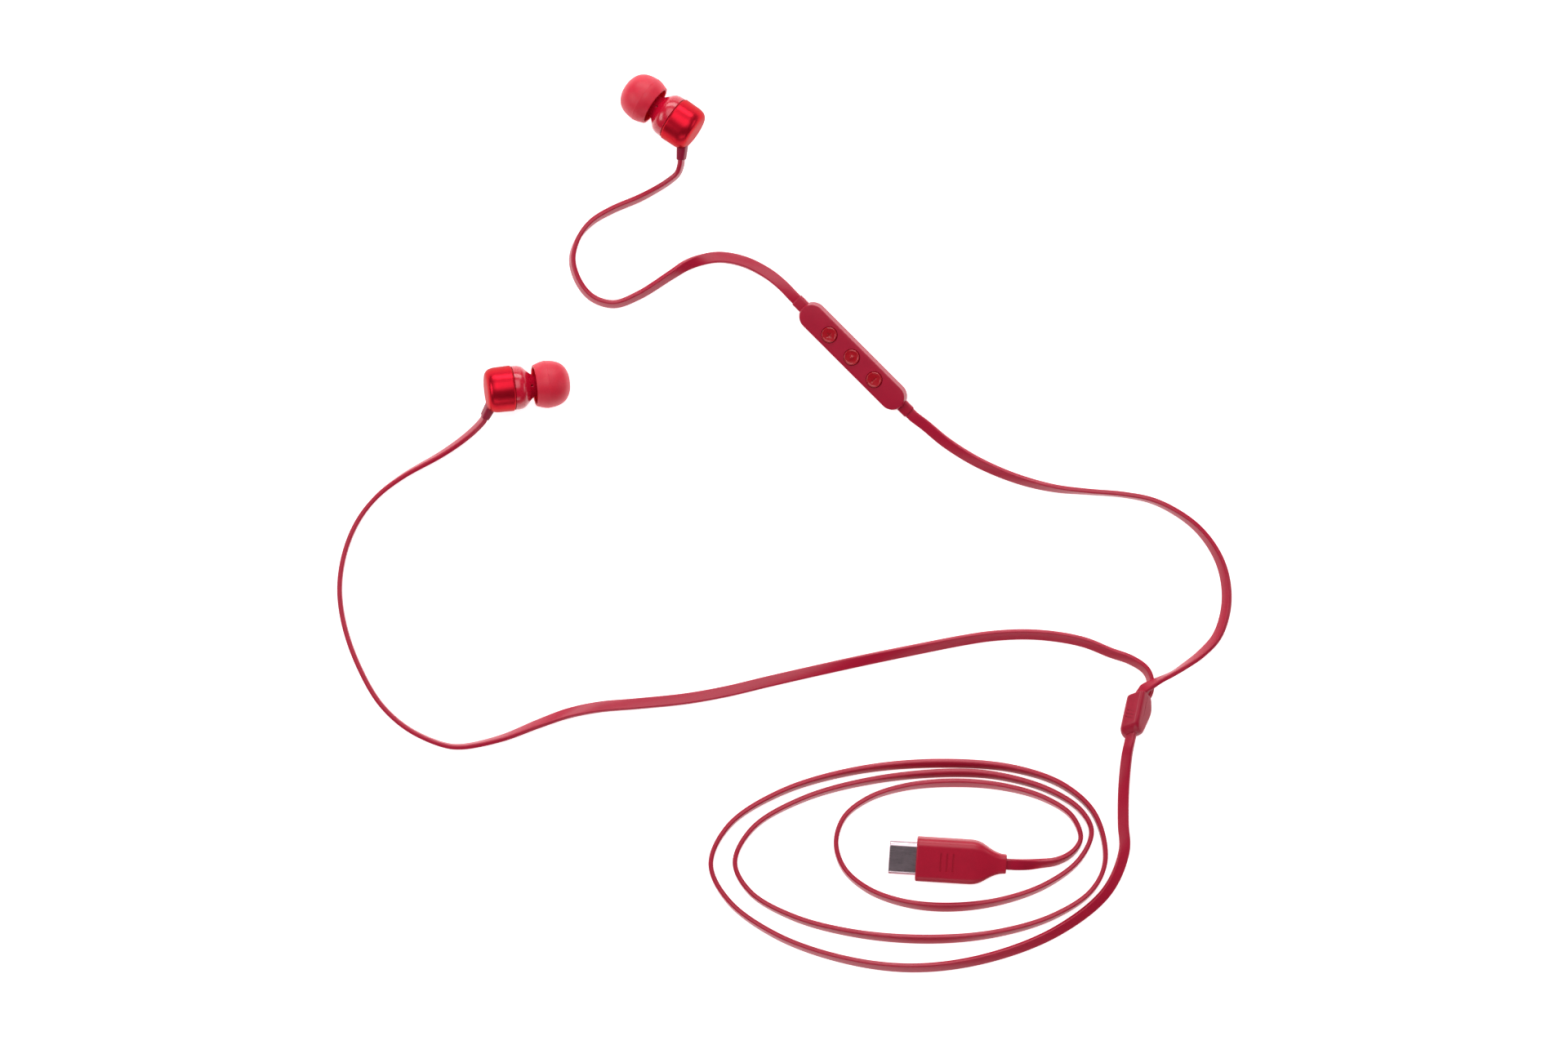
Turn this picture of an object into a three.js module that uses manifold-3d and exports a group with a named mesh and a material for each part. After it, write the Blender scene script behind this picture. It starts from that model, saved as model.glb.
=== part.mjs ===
// Wired in-ear earphones: two earphones, an inline remote, a Y splitter, a USB-C plug and flat cable.
// Millimetres, +Z up, lying on a table at z = 0. Every piece is drawn in a layout frame whose origin is
// the middle of the whole arrangement; at the end the layout is shifted so that the origin is on the
// table under the middle of the object's own pieces, the two earphones and the remote.
//
// Each assembly has its own local frame: +X forward (ear tip, remote's lower end, splitter's two-cable
// end, plug's shell), +Y left and +Z up. It is placed by its heading about +Z, then its dip (nose down)
// about its own +Y, then its roll about its own +X.

import * as THREE from 'three';
import { mergeVertices } from 'three/addons/utils/BufferGeometryUtils.js';
import Module from 'manifold-3d';

const wasm = await Module();
wasm.setup();

// ---------------------------------------------------------------- driving dimensions

const CABLE = { width: 2.7, thickness: 1.15, edge: 0.45 };
const END_GAP = 0.3; // between a cable's end and the piece it meets
const TABLE_GAP = 0.02; // keeps the lowest edges just off the table

const ROUND_SIDES = 28; // sides of a turned piece
const HOLE_SIDES = 16; // sides of a small round hole or disc
const CORNER_STEPS = 3; // chords in each rounded corner

const RIGHT_EAR = { x: -26.6, y: 96.9, heading: 145.4, dip: 8, roll: 72 };
const LEFT_EAR = { x: -64.9, y: 32.2, heading: 6.6, dip: 10, roll: -55 };

const BOOT = {
  angle: 63, // from the axis pointing backwards
  end: [-7, -7.35], // outer end, along the axis and across it
  length: 5,
  width: 3.2,
  thickness: 2.5,
  endWidth: 3,
  endThickness: 1.9,
  clearance: 0.2,
};

const REMOTE = {
  x: 16.6,
  y: 40,
  heading: -45,
  roll: 12,
  halfLength: 17,
  halfWidth: 3.4,
  faceHeight: 2.5,
  wallUnder: 1.8, // underside of the front cover's top wall
  seam: 0.1, // half the gap between the covers
  facetEdge: 2.6, // half width where the back's two facets start
  facetTop: -1.6,
  keel: -2.131,
  cavityHalfWidth: 2.5,
  cavityHalfLength: 15.7,
  reliefEnd: 19.2,
};
const BUTTON = { pitch: 7.6, radius: 1.9, well: 2.02, flange: 2.2, top: 2.85 };

const SPLITTER = { x: 84.3, y: -46.3, heading: 78, roll: -41 };
const SLANT = { across: -0.5, up: 0.46 }; // how far the splitter's ends slope, per millimetre to the left and up

const PLUG = {
  x: 31.7, // the middle of the grip's shoulder, where the steel shell comes out
  y: -80.7,
  heading: 176.5,
  roll: -11,
  width: 10.7,
  thickness: 5.2,
  edge: 1.8,
  length: 21.7,
};
const SHELL = { width: 8.25, height: 2.4, wall: 0.3, out: 6.5, inside: 1.6 };
const CONTACTS = { count: 12, pitch: 0.5, width: 0.26, thickness: 0.12, offset: 0.26 };

// ---------------------------------------------------------------- materials

const paint = (color, roughness, metalness = 0) => new THREE.MeshStandardMaterial({ color, roughness, metalness });

const MATERIAL = {
  silicone: paint(0xc8283c, 0.6),
  glossRed: paint(0xb4142d, 0.2),
  metallicRed: paint(0xc8192a, 0.3, 0.8),
  satinRed: paint(0x99142f, 0.5),
  buttonRed: paint(0xaa0019, 0.4),
  rubberRed: paint(0x8c0f32, 0.6),
  cableRed: paint(0xa01832, 0.55),
  steel: paint(0xb8b4b8, 0.3, 1),
  darkSteel: paint(0x7a767c, 0.4, 1),
  black: paint(0x1a1a1c, 0.6),
  board: paint(0x14522e, 0.5),
  gold: paint(0xd9a441, 0.3, 1),
  film: paint(0xd8d2c4, 0.4),
  felt: paint(0xe6e2da, 0.9),
};

// ---------------------------------------------------------------- solids

/** Turns every face of a closed geometry outwards. */
function facingOut(geometry) {
  const position = geometry.getAttribute('position');
  const index = geometry.index.array;
  const a = new THREE.Vector3();
  const b = new THREE.Vector3();
  const c = new THREE.Vector3();
  let volume = 0;
  for (let i = 0; i < index.length; i += 3) {
    a.fromBufferAttribute(position, index[i]);
    b.fromBufferAttribute(position, index[i + 1]);
    c.fromBufferAttribute(position, index[i + 2]);
    volume += a.dot(b.cross(c));
  }
  if (volume < 0) {
    for (let i = 0; i < index.length; i += 3) {
      [index[i], index[i + 1]] = [index[i + 1], index[i]];
    }
  }
  return geometry;
}

/** Keeps only the positions of a geometry and merges its shared corners. */
function welded(geometry) {
  const bare = new THREE.BufferGeometry();
  bare.setAttribute('position', geometry.getAttribute('position').clone());
  if (geometry.index) {
    bare.setIndex(geometry.index.clone());
  }
  const merged = mergeVertices(bare, 1e-4);
  const source = merged.index.array;
  const kept = [];
  for (let i = 0; i < source.length; i += 3) {
    const [a, b, c] = [source[i], source[i + 1], source[i + 2]];
    if (a !== b && b !== c && c !== a) {
      kept.push(a, b, c);
    }
  }
  merged.setIndex(kept);
  return facingOut(merged);
}

const toManifold = (geometry) => new wasm.Manifold(new wasm.Mesh({
  numProp: 3,
  vertProperties: new Float32Array(geometry.getAttribute('position').array),
  triVerts: new Uint32Array(geometry.index.array),
}));

function toGeometry(manifold) {
  const mesh = manifold.getMesh();
  const geometry = new THREE.BufferGeometry();
  geometry.setAttribute('position', new THREE.BufferAttribute(new Float32Array(mesh.vertProperties), 3));
  geometry.setIndex(new THREE.BufferAttribute(new Uint32Array(mesh.triVerts), 1));
  return geometry;
}

/** The first geometry with every cutter taken out of it. */
function cut(geometry, ...cutters) {
  let body = toManifold(geometry);
  for (const cutter of cutters) {
    body = body.subtract(toManifold(cutter));
  }
  return toGeometry(body);
}

/** The union of overlapping geometries. */
function joined(first, ...others) {
  let body = toManifold(first);
  for (const other of others) {
    body = body.add(toManifold(other));
  }
  return toGeometry(body);
}

/** A closed solid through a row of outlines with equal point counts, flat at both ends. */
function loft(rings) {
  const count = rings[0].length;
  const points = rings.flat();
  const index = [];
  for (let ring = 0; ring < rings.length - 1; ring += 1) {
    for (let i = 0; i < count; i += 1) {
      const a = ring * count + i;
      const b = ring * count + ((i + 1) % count);
      index.push(a, b, b + count, a, b + count, a + count);
    }
  }
  for (const [ring, flip] of [[0, true], [rings.length - 1, false]]) {
    const start = ring * count;
    for (let i = 1; i < count - 1; i += 1) {
      const triangle = [start, start + i, start + i + 1];
      index.push(...(flip ? triangle.reverse() : triangle));
    }
  }
  const geometry = new THREE.BufferGeometry();
  geometry.setAttribute('position', new THREE.Float32BufferAttribute(points.flat(), 3));
  geometry.setIndex(index);
  return welded(geometry);
}

/** A rectangle with rounded corners, as [u, v] points. */
function roundedRectangle(width, height, radius, steps = CORNER_STEPS) {
  const points = [];
  const corners = [[1, 1, 0], [-1, 1, 90], [-1, -1, 180], [1, -1, 270]];
  for (const [u, v, start] of corners) {
    for (let i = 0; i <= steps; i += 1) {
      const angle = THREE.MathUtils.degToRad(start + (90 * i) / steps);
      points.push([
        u * (width / 2 - radius) + radius * Math.cos(angle),
        v * (height / 2 - radius) + radius * Math.sin(angle),
      ]);
    }
  }
  return points;
}

/** A long outline with half-round ends, as [x, y] points. */
function stadium(halfLength, halfWidth, steps = 10) {
  const points = [];
  for (const [side, start] of [[1, -90], [-1, 90]]) {
    for (let i = 0; i <= steps; i += 1) {
      const angle = THREE.MathUtils.degToRad(start + (180 * i) / steps);
      points.push([
        side * (halfLength - halfWidth) + halfWidth * Math.cos(angle),
        halfWidth * Math.sin(angle),
      ]);
    }
  }
  return points;
}

function circle(radius, sides = HOLE_SIDES) {
  const points = [];
  for (let i = 0; i < sides; i += 1) {
    const angle = (2 * Math.PI * i) / sides;
    points.push([radius * Math.cos(angle), radius * Math.sin(angle)]);
  }
  return points;
}

const alongX = (x, outline, y = 0, z = 0) => outline.map(([u, v]) => [x, y + u, z + v]);
const alongZ = (z, outline, x = 0, y = 0) => outline.map(([u, v]) => [x + u, y + v, z]);

/** A bar with one section from x0 to x1, and a slab with one outline from z0 to z1. */
const bar = (outline, x0, x1, y = 0, z = 0) => loft([alongX(x0, outline, y, z), alongX(x1, outline, y, z)]);
const slab = (outline, z0, z1, x = 0, y = 0) => loft([alongZ(z0, outline, x, y), alongZ(z1, outline, x, y)]);

/** A turned piece about the local X axis, from [x, radius] points. */
function turned(profile, sides = ROUND_SIDES) {
  const points = profile.map(([x, radius]) => new THREE.Vector2(radius, x));
  const geometry = new THREE.LatheGeometry(points, sides);
  geometry.rotateZ(-Math.PI / 2);
  return welded(geometry);
}

const earphones = new THREE.Group();
const layout = new THREE.Group();
const ownBox = new THREE.Box3();
earphones.add(layout);

function addPiece(group, name, geometry, material) {
  const mesh = new THREE.Mesh(geometry, material);
  mesh.name = name;
  group.add(mesh);
  return mesh;
}

/** A group at a place in the layout, turned by its heading, dip and roll in degrees. */
function placedGroup({ x, y, heading, dip = 0, roll = 0 }) {
  const group = new THREE.Group();
  group.position.set(x, y, 0);
  const turn = new THREE.Euler(
    THREE.MathUtils.degToRad(roll),
    THREE.MathUtils.degToRad(dip),
    THREE.MathUtils.degToRad(heading),
    'ZYX',
  );
  group.setRotationFromEuler(turn);
  layout.add(group);
  return group;
}

/** Raises or lowers a group until its lowest point rests on the table. */
function restOnTable(group) {
  group.updateMatrixWorld(true);
  group.position.z -= new THREE.Box3().setFromObject(group, true).min.z;
  group.updateMatrixWorld(true);
  return group;
}

const sine = (degrees) => Math.sin(THREE.MathUtils.degToRad(degrees));
const cosine = (degrees) => Math.cos(THREE.MathUtils.degToRad(degrees));

// ---------------------------------------------------------------- earphone
// The seam between housing and shell is at x = 0, the ear tip is forward.

const TIP_PROFILE = [
  [5.3, 4.95], [6.6, 5.5], [8, 5.7], [9.2, 5.6], [10.9, 5.2], [12.4, 4.3], [13.3, 3],
  [13.6, 1.9], [13.2, 1.65], [10.5, 1.65], [10, 2.85], [6.9, 2.85], [6.9, 3.4], [11, 3.4],
  [11.5, 3.8], [10.6, 4.5], [9.2, 4.9], [8, 5], [6.6, 4.85], [5.3, 4.35], [5.3, 4.95],
];

const HOUSING_PROFILE = [
  [0.1, 4.7], [0.1, 5.3], [1.3, 5.3], [2.2, 5.05], [3.1, 4.45], [3.9, 3.6], [4.5, 2.95], [5.2, 2.6],
  [5.8, 2.3], [8.9, 2.3], [9.1, 2.6], [9.8, 2.3], [9.8, 1.5], [5, 1.5], [3.4, 2.6], [2.4, 4.3],
  [1.8, 4.7], [0.1, 4.7],
];

const REAR_PROFILE = [
  [-0.1, 4.85], [-0.1, 5.25], [-0.35, 5.5], [-4.7, 5.4], [-5.7, 5.05], [-6.3, 4.4], [-6.55, 3.6],
  [-6.65, 0], [-6.05, 0], [-5.9, 3.4], [-5.5, 4.1], [-4.6, 4.8], [-0.1, 4.85],
];

const FRAME_PROFILE = [[0, 3.5], [0, 4.5], [-1.2, 4.5], [-1.6, 4], [-1.6, 3.5], [0, 3.5]];
const MAGNET_PROFILE = [[-0.5, 0], [-0.5, 2.6], [-0.9, 3.1], [-2.4, 3.1], [-2.6, 2.9], [-2.6, 0]];
const DIAPHRAGM_PROFILE = [
  [1.3, 0], [1.1, 1.1], [0.6, 2], [0.9, 3], [0.5, 4.2], [0.35, 4.2], [0.75, 3], [0.45, 1.95], [0.95, 1.05],
  [1.15, 0],
];

const VENT = { x: 4.15, radius: 0.28 };
const SCREEN = { x: 9.2, radius: 1.3, thickness: 0.2, holeRing: 0.75, hole: 0.22 };

/** The direction in which the boot points, in the earphone's frame. */
const bootDirection = new THREE.Vector3(-cosine(BOOT.angle), 0, -sine(BOOT.angle));
const bootEnd = new THREE.Vector3(BOOT.end[0], 0, BOOT.end[1]);

/** Carries a piece drawn with its outer end at the origin and its axis on +X to the boot's place. */
function atBoot(geometry) {
  const across = new THREE.Vector3(0, 1, 0);
  const up = new THREE.Vector3().crossVectors(bootDirection, across);
  const matrix = new THREE.Matrix4().makeBasis(bootDirection, across, up).setPosition(bootEnd);
  return geometry.clone().applyMatrix4(matrix);
}

/** The boot's loft, made wider all round by a clearance where the shell's hole is cut. */
function bootShape(clearance) {
  const section = (width, thickness) => roundedRectangle(width + 2 * clearance, thickness + 2 * clearance, 0.75);
  return atBoot(loft([
    alongX(-BOOT.length - clearance, section(BOOT.width, BOOT.thickness)),
    alongX(-0.15, section(BOOT.endWidth, BOOT.endThickness)),
    alongX(0, section(BOOT.endWidth - 0.2, BOOT.endThickness - 0.25)),
  ]));
}

function nozzleScreen() {
  const holes = [bar(circle(SCREEN.hole, 6), SCREEN.x - 1, SCREEN.x + 1)];
  for (let i = 0; i < 6; i += 1) {
    const y = SCREEN.holeRing * cosine(60 * i);
    const z = SCREEN.holeRing * sine(60 * i);
    holes.push(bar(circle(SCREEN.hole, 6), SCREEN.x - 1, SCREEN.x + 1, y, z));
  }
  return cut(bar(circle(SCREEN.radius), SCREEN.x, SCREEN.x + SCREEN.thickness), ...holes);
}

/** The front housing with its pin-hole vent, which faces up when the earphone lies on the table. */
function frontHousing(vent) {
  const hole = slab(circle(VENT.radius, 8), 1.5, 5, VENT.x);
  hole.rotateX(THREE.MathUtils.degToRad(vent));
  return cut(turned(HOUSING_PROFILE), hole);
}

/** Builds one earphone and returns its group. */
function earphone(side, place) {
  const group = placedGroup(place);
  addPiece(group, `${side}_ear_tip`, turned(TIP_PROFILE), MATERIAL.silicone);
  addPiece(group, `${side}_nozzle_screen`, nozzleScreen(), MATERIAL.darkSteel);
  addPiece(group, `${side}_front_housing`, frontHousing(-place.roll), MATERIAL.glossRed);
  addPiece(group, `${side}_rear_shell`, cut(turned(REAR_PROFILE), bootShape(BOOT.clearance)), MATERIAL.metallicRed);
  addPiece(group, `${side}_driver_frame`, turned(FRAME_PROFILE), MATERIAL.black);
  addPiece(group, `${side}_driver_magnet`, turned(MAGNET_PROFILE), MATERIAL.darkSteel);
  addPiece(group, `${side}_driver_diaphragm`, turned(DIAPHRAGM_PROFILE), MATERIAL.film);
  addPiece(group, `${side}_damping_felt`, bar(circle(2.4), -3.3, -2.9), MATERIAL.felt);
  addPiece(group, `${side}_strain_relief`, bootShape(0), MATERIAL.rubberRed);
  return restOnTable(group);
}

// ---------------------------------------------------------------- inline remote

/** A stadium at a height, drawn in from the widest outline by an inset. */
const remoteRing = (z, inset) => alongZ(z, stadium(REMOTE.halfLength - inset, REMOTE.halfWidth - inset));

/** The space inside the covers and the two openings for the strain reliefs. */
function remoteCavity(z0, z1) {
  return slab(stadium(REMOTE.cavityHalfLength, REMOTE.cavityHalfWidth), z0, z1);
}

function reliefOpening(end) {
  return bar(roundedRectangle(3.4, 2.2, 0.6), end * 15, end * 18);
}

function remoteFrontCover() {
  const body = loft([
    remoteRing(REMOTE.seam, 0),
    remoteRing(2.3, 0.38),
    remoteRing(2.44, 0.44),
    remoteRing(REMOTE.faceHeight, 0.56),
  ]);
  const wells = [-1, 0, 1].map((place) => slab(circle(BUTTON.well, 20), 1.5, 3, place * BUTTON.pitch));
  return cut(body, remoteCavity(-1, REMOTE.wallUnder), reliefOpening(1), reliefOpening(-1), ...wells);
}

function remoteBackCover() {
  const body = loft([
    remoteRing(-REMOTE.seam, 0),
    remoteRing(-1, 0.15),
    remoteRing(REMOTE.facetTop, REMOTE.halfWidth - REMOTE.facetEdge),
    remoteRing(REMOTE.keel, REMOTE.halfWidth - 0.1),
  ]);
  const microphonePort = slab(circle(0.35, 8), -3, -1, 11.6, 1.1);
  return cut(body, remoteCavity(-1.3, 1), reliefOpening(1), reliefOpening(-1), microphonePort);
}

/** A button at a place along the remote, with its sign pressed into the cap. */
function remoteButton(place, sign) {
  const x = place * BUTTON.pitch;
  const body = loft([
    alongZ(0.95, circle(0.8, 20), x),
    alongZ(1.1, circle(BUTTON.flange, 20), x),
    alongZ(1.45, circle(BUTTON.flange, 20), x),
    alongZ(1.46, circle(BUTTON.radius, 20), x),
    alongZ(2.7, circle(BUTTON.radius, 20), x),
    alongZ(BUTTON.top, circle(BUTTON.radius - 0.2, 20), x),
  ]);
  const depth = 0.12;
  const stroke = (length, width) => slab(roundedRectangle(length, width, 0.05, 1), BUTTON.top - depth, 3, x);
  const marks = {
    plus: [stroke(1.3, 0.3), stroke(0.3, 1.3)],
    dot: [slab(circle(0.28, 12), BUTTON.top - depth, 3, x)],
    minus: [stroke(0.3, 1.3)],
  };
  return cut(body, ...marks[sign]);
}

function remoteSwitch(place) {
  const x = place * BUTTON.pitch;
  return joined(
    slab(roundedRectangle(3, 3, 0.3, 1), -0.1, 0.3, x),
    slab(circle(0.9), 0.2, 0.55, x),
  );
}

function remoteRelief(end) {
  return loft([
    alongX(end * 13.6, roundedRectangle(4, 1.8, 0.5)),
    alongX(end * 14.2, roundedRectangle(4, 1.8, 0.5)),
    alongX(end * 14.21, roundedRectangle(3.1, 1.8, 0.5)),
    alongX(end * (REMOTE.reliefEnd - 0.3), roundedRectangle(3.1, 1.8, 0.5)),
    alongX(end * REMOTE.reliefEnd, roundedRectangle(2.9, 1.6, 0.45)),
  ]);
}

function remote() {
  const group = placedGroup(REMOTE);
  addPiece(group, 'remote_front_cover', remoteFrontCover(), MATERIAL.satinRed);
  addPiece(group, 'remote_back_cover', remoteBackCover(), MATERIAL.satinRed);
  addPiece(group, 'remote_circuit_board', slab(roundedRectangle(26, 4.2, 0.6), -1, -0.4), MATERIAL.board);
  addPiece(group, 'remote_microphone', slab(roundedRectangle(2.4, 2.4, 0.3), -0.1, 0.9, 11.6), MATERIAL.darkSteel);
  addPiece(group, 'remote_upper_relief', remoteRelief(-1), MATERIAL.rubberRed);
  addPiece(group, 'remote_lower_relief', remoteRelief(1), MATERIAL.rubberRed);
  const buttons = [['plus', -1, 'plus'], ['play', 0, 'dot'], ['minus', 1, 'minus']];
  for (const [name, place, sign] of buttons) {
    addPiece(group, `${name}_button`, remoteButton(place, sign), MATERIAL.buttonRed);
    addPiece(group, `${name}_switch`, remoteSwitch(place), MATERIAL.darkSteel);
  }
  return restOnTable(group);
}

// ---------------------------------------------------------------- Y splitter
// Each station is [x, depth from the middle plane, half width].

const SPLITTER_FRONT = [[4.6, 1.8, 2.1], [4.1, 2.1, 2.45], [-3.3, 2.1, 2.5], [-4.3, 1.5, 2.35], [-4.8, 1, 2]];
const SPLITTER_REAR = [
  [4.6, 1.8, 2.1], [4.1, 2.3, 2.45], [2, 3.3, 2.5], [1, 3.3, 2.5], [-4, 1.8, 2.4], [-4.8, 1.1, 2],
];
const SPLITTER_EDGE = 0.95;

/** One moulded half: flat on the middle plane, rounded outside, with a pocket for the wires' joint. */
function splitterHalf(stations, side) {
  const rings = stations.map(([x, depth, halfWidth]) => {
    const outline = roundedRectangle(2 * halfWidth, 2 * depth, SPLITTER_EDGE);
    const half = outline.slice(0, 2 * (CORNER_STEPS + 1));
    const points = [...half, [-halfWidth, 0.05], [halfWidth, 0.05]];
    return points.map(([y, z]) => [x + SLANT.across * y + SLANT.up * side * z, y, side * z]);
  });
  const pocket = bar(roundedRectangle(3.4, 2.6, 0.4), -2.6, 2.6);
  return cut(loft(rings), pocket);
}

function splitter() {
  const group = placedGroup(SPLITTER);
  addPiece(group, 'splitter_front_half', splitterHalf(SPLITTER_FRONT, 1), MATERIAL.satinRed);
  addPiece(group, 'splitter_rear_half', splitterHalf(SPLITTER_REAR, -1), MATERIAL.satinRed);
  addPiece(group, 'splitter_wire_joint', bar(roundedRectangle(2.4, 1.6, 0.4), -2.2, 2.2), MATERIAL.black);
  return restOnTable(group);
}

// ---------------------------------------------------------------- USB-C plug
// The grip's shoulder is at x = 0 and the steel shell is forward. Each station is [x, width, thickness].

const GRIP_STATIONS = [
  [0, 10.4, 4.9], [-0.3, 10.7, 5.2], [-12.9, 10.7, 5.2], [-14.1, 10.5, 5.1], [-15.2, 9.9, 4.8],
  [-16.3, 8.8, 4.4], [-17.6, 7.1, 3.8], [-19, 5.6, 3.3], [-20.2, 4.8, 3], [-21.5, 4.6, 2.9], [-21.7, 4.4, 2.7],
];

function plugGrip() {
  const rings = GRIP_STATIONS.map(([x, width, thickness]) => {
    const radius = Math.min(PLUG.edge, thickness * 0.36);
    return alongX(x, roundedRectangle(width, thickness, radius, 4));
  });
  const shellHole = bar(roundedRectangle(8.65, 2.8, 1.35, 4), -2, 1);
  const boardSpace = bar(roundedRectangle(9, 3.6, 0.8), -13, -1.9);
  return cut(loft(rings), shellHole, boardSpace);
}

function usbShell() {
  const outside = roundedRectangle(SHELL.width, SHELL.height, 1.15, 5);
  const inside = roundedRectangle(SHELL.width - 2 * SHELL.wall, SHELL.height - 2 * SHELL.wall, 0.85, 5);
  return cut(bar(outside, -SHELL.inside, SHELL.out), bar(inside, -3, 8));
}

function contactCarrier() {
  const body = bar(roundedRectangle(7.35, 1.5, 0.7), -1.3, 6);
  return cut(body, bar(roundedRectangle(6.7, 0.8, 0.3), 1, 7));
}

/** Twelve contact fingers on one strip, on the upper or lower side of the plug's mouth. */
function contactRow(side) {
  const outline = new THREE.Shape();
  const reach = { strip: 1.3, root: 1.7, end: 5.5 };
  const half = ((CONTACTS.count - 1) * CONTACTS.pitch + CONTACTS.width) / 2;
  outline.moveTo(reach.strip, -half);
  for (let i = 0; i < CONTACTS.count; i += 1) {
    const y = -half + i * CONTACTS.pitch;
    outline.lineTo(reach.root, y);
    outline.lineTo(reach.end, y);
    outline.lineTo(reach.end, y + CONTACTS.width);
    outline.lineTo(reach.root, y + CONTACTS.width);
  }
  outline.lineTo(reach.strip, half);
  const geometry = new THREE.ExtrudeGeometry(outline, { depth: CONTACTS.thickness, bevelEnabled: false });
  geometry.translate(0, 0, side * CONTACTS.offset - CONTACTS.thickness / 2);
  return welded(geometry);
}

function plug() {
  const group = placedGroup(PLUG);
  addPiece(group, 'plug_grip', plugGrip(), MATERIAL.satinRed);
  addPiece(group, 'usb_shell', usbShell(), MATERIAL.steel);
  addPiece(group, 'contact_carrier', contactCarrier(), MATERIAL.black);
  addPiece(group, 'upper_contacts', contactRow(1), MATERIAL.gold);
  addPiece(group, 'lower_contacts', contactRow(-1), MATERIAL.gold);
  addPiece(group, 'converter_board', bar(roundedRectangle(8, 0.8, 0.2, 1), -12.6, -2.3), MATERIAL.board);
  addPiece(group, 'converter_chip', slab(roundedRectangle(3.6, 3.6, 0.2, 1), 0.7, 1.5, -7), MATERIAL.black);
  return restOnTable(group);
}

// ---------------------------------------------------------------- flat cable
// A stop is [x, y, lean, lift]: lean is how far the cable's wide face is turned from lying flat towards
// the left of its travel, in degrees, and lift is how far it is held off the table.

const UPPER_STOPS = [
  [-25.5, 83.8, 78, 2.9], [-27.7, 81.9, 76, 1.9], [-31, 79.9, 75, 0.9], [-34.9, 77.9, 70, 0.3], [-41.5, 75.1, 70],
  [-46.3, 72.2, 78], [-49.5, 68.3, 95], [-50.9, 63.2, 107], [-49.3, 57.8, 111], [-46, 54, 113],
  [-40.9, 52.5, 116], [-35, 54.6, 120], [-27.2, 59.5, 128], [-23.4, 61.9, 150], [-19.8, 63.2, 175],
  [-15.3, 63.8, 197], [-9.5, 62.7, 200], [-3.8, 59.8, 188, 0.35], [-0.2, 56.9, 176, 1],
];

const LOWER_STOPS = [
  [33.9, 23.4, -14, 0.9], [38.9, 19.3, -22, 0.2], [45.5, 15.1, -32], [52.3, 11.9, -42], [59, 9.6, -52],
  [65.8, 8.1, -66], [73, 7.4, -78], [81.5, 6.7, -80], [88.4, 5.3, -76], [94.1, 2.6, -71], [99.2, -1.2, -65],
  [103, -5.9, -58], [105.4, -11, -52], [106.4, -16.7, -48], [106, -22, -47], [104, -27.5, -51],
  [100.2, -31.6, -61, 0.6], [96.2, -34.5, -74, 1.6], [93.3, -36.3, -82, 2.5], [90.3, -37.7, -74, 3.3],
  [88.1, -38.9, -55, 3.3],
];

const LEFT_STOPS = [
  [-74.6, 22.1, 116, 1.1], [-78.2, 19.2, 113, 0.3], [-82.7, 16.2, 108], [-91.8, 11, 99], [-97.9, 6.2, 94],
  [-102.4, 0.4, 90], [-105.5, -7, 90], [-106.8, -15.7, 90], [-105.7, -24.6, 90], [-102.2, -34.6, 90],
  [-97, -43.6, 90], [-90.4, -49.6, 88], [-82, -53.4, 85], [-77.6, -53.9, 82], [-68, -51.9, 72],
  [-59, -48.4, 55], [-51.9, -45.9, 40], [-44.5, -44.4, 28], [-35.4, -43.6, 22], [-23.6, -42.4, 17],
  [-14, -40.7, 12], [-3.9, -38.3, 6, 0.05], [7.9, -35.6, 0, 0.1], [19.7, -33, -14, 0.05], [31.4, -30.6, -27],
  [43.2, -28.3, -33], [50, -27.3, -35], [58.2, -26.9, -36], [65.8, -27.5, -36], [72.5, -28.9, -38],
  [78.5, -31.3, -42], [83.3, -33, -47], [86.7, -35.2, -56], [87.9, -37.3, -67, 0.05], [88, -39.8, -69, 0.35],
];

const MAIN_STOPS = [
  [82.4, -55.6, -33, 1.8], [81.9, -60.5, -23, 0.8], [81.6, -66.3, -13, 0.2], [81.6, -72.6, -4, 0.05],
];

// The loose coil: [x, y, lean, fullness] where each quarter of it ends, its sides, bottoms and tops in turn.
// Fullness below 1 squares a quarter off, above 1 flattens it.
const COIL_STOPS = [
  [81.8, -79, 12, 1], [31.2, -107.1, 50, 1.1], [-17.6, -82.1, 90, 1.1], [37.3, -57.9, 128, 1.02],
  [77.2, -81.2, 90, 0.8], [35, -100.2, 50, 1], [-11.8, -81.7, 90, 1], [42.4, -60.2, 124, 1.02],
  [73.9, -74.3, 90, 1.08], [39.3, -92.5, 50, 1.05], [12.5, -77, 90, 0.95], [41.3, -62.6, 124, 0.9],
  [71.3, -75.4, 90, 1], [61.5, -82, 45, 1],
];
const QUARTER_STEPS = 4;
const TAIL_STOPS = [[58.8, -82.2, 26, 1], [56.5, -82.2, 14, 1.9]];

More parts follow.
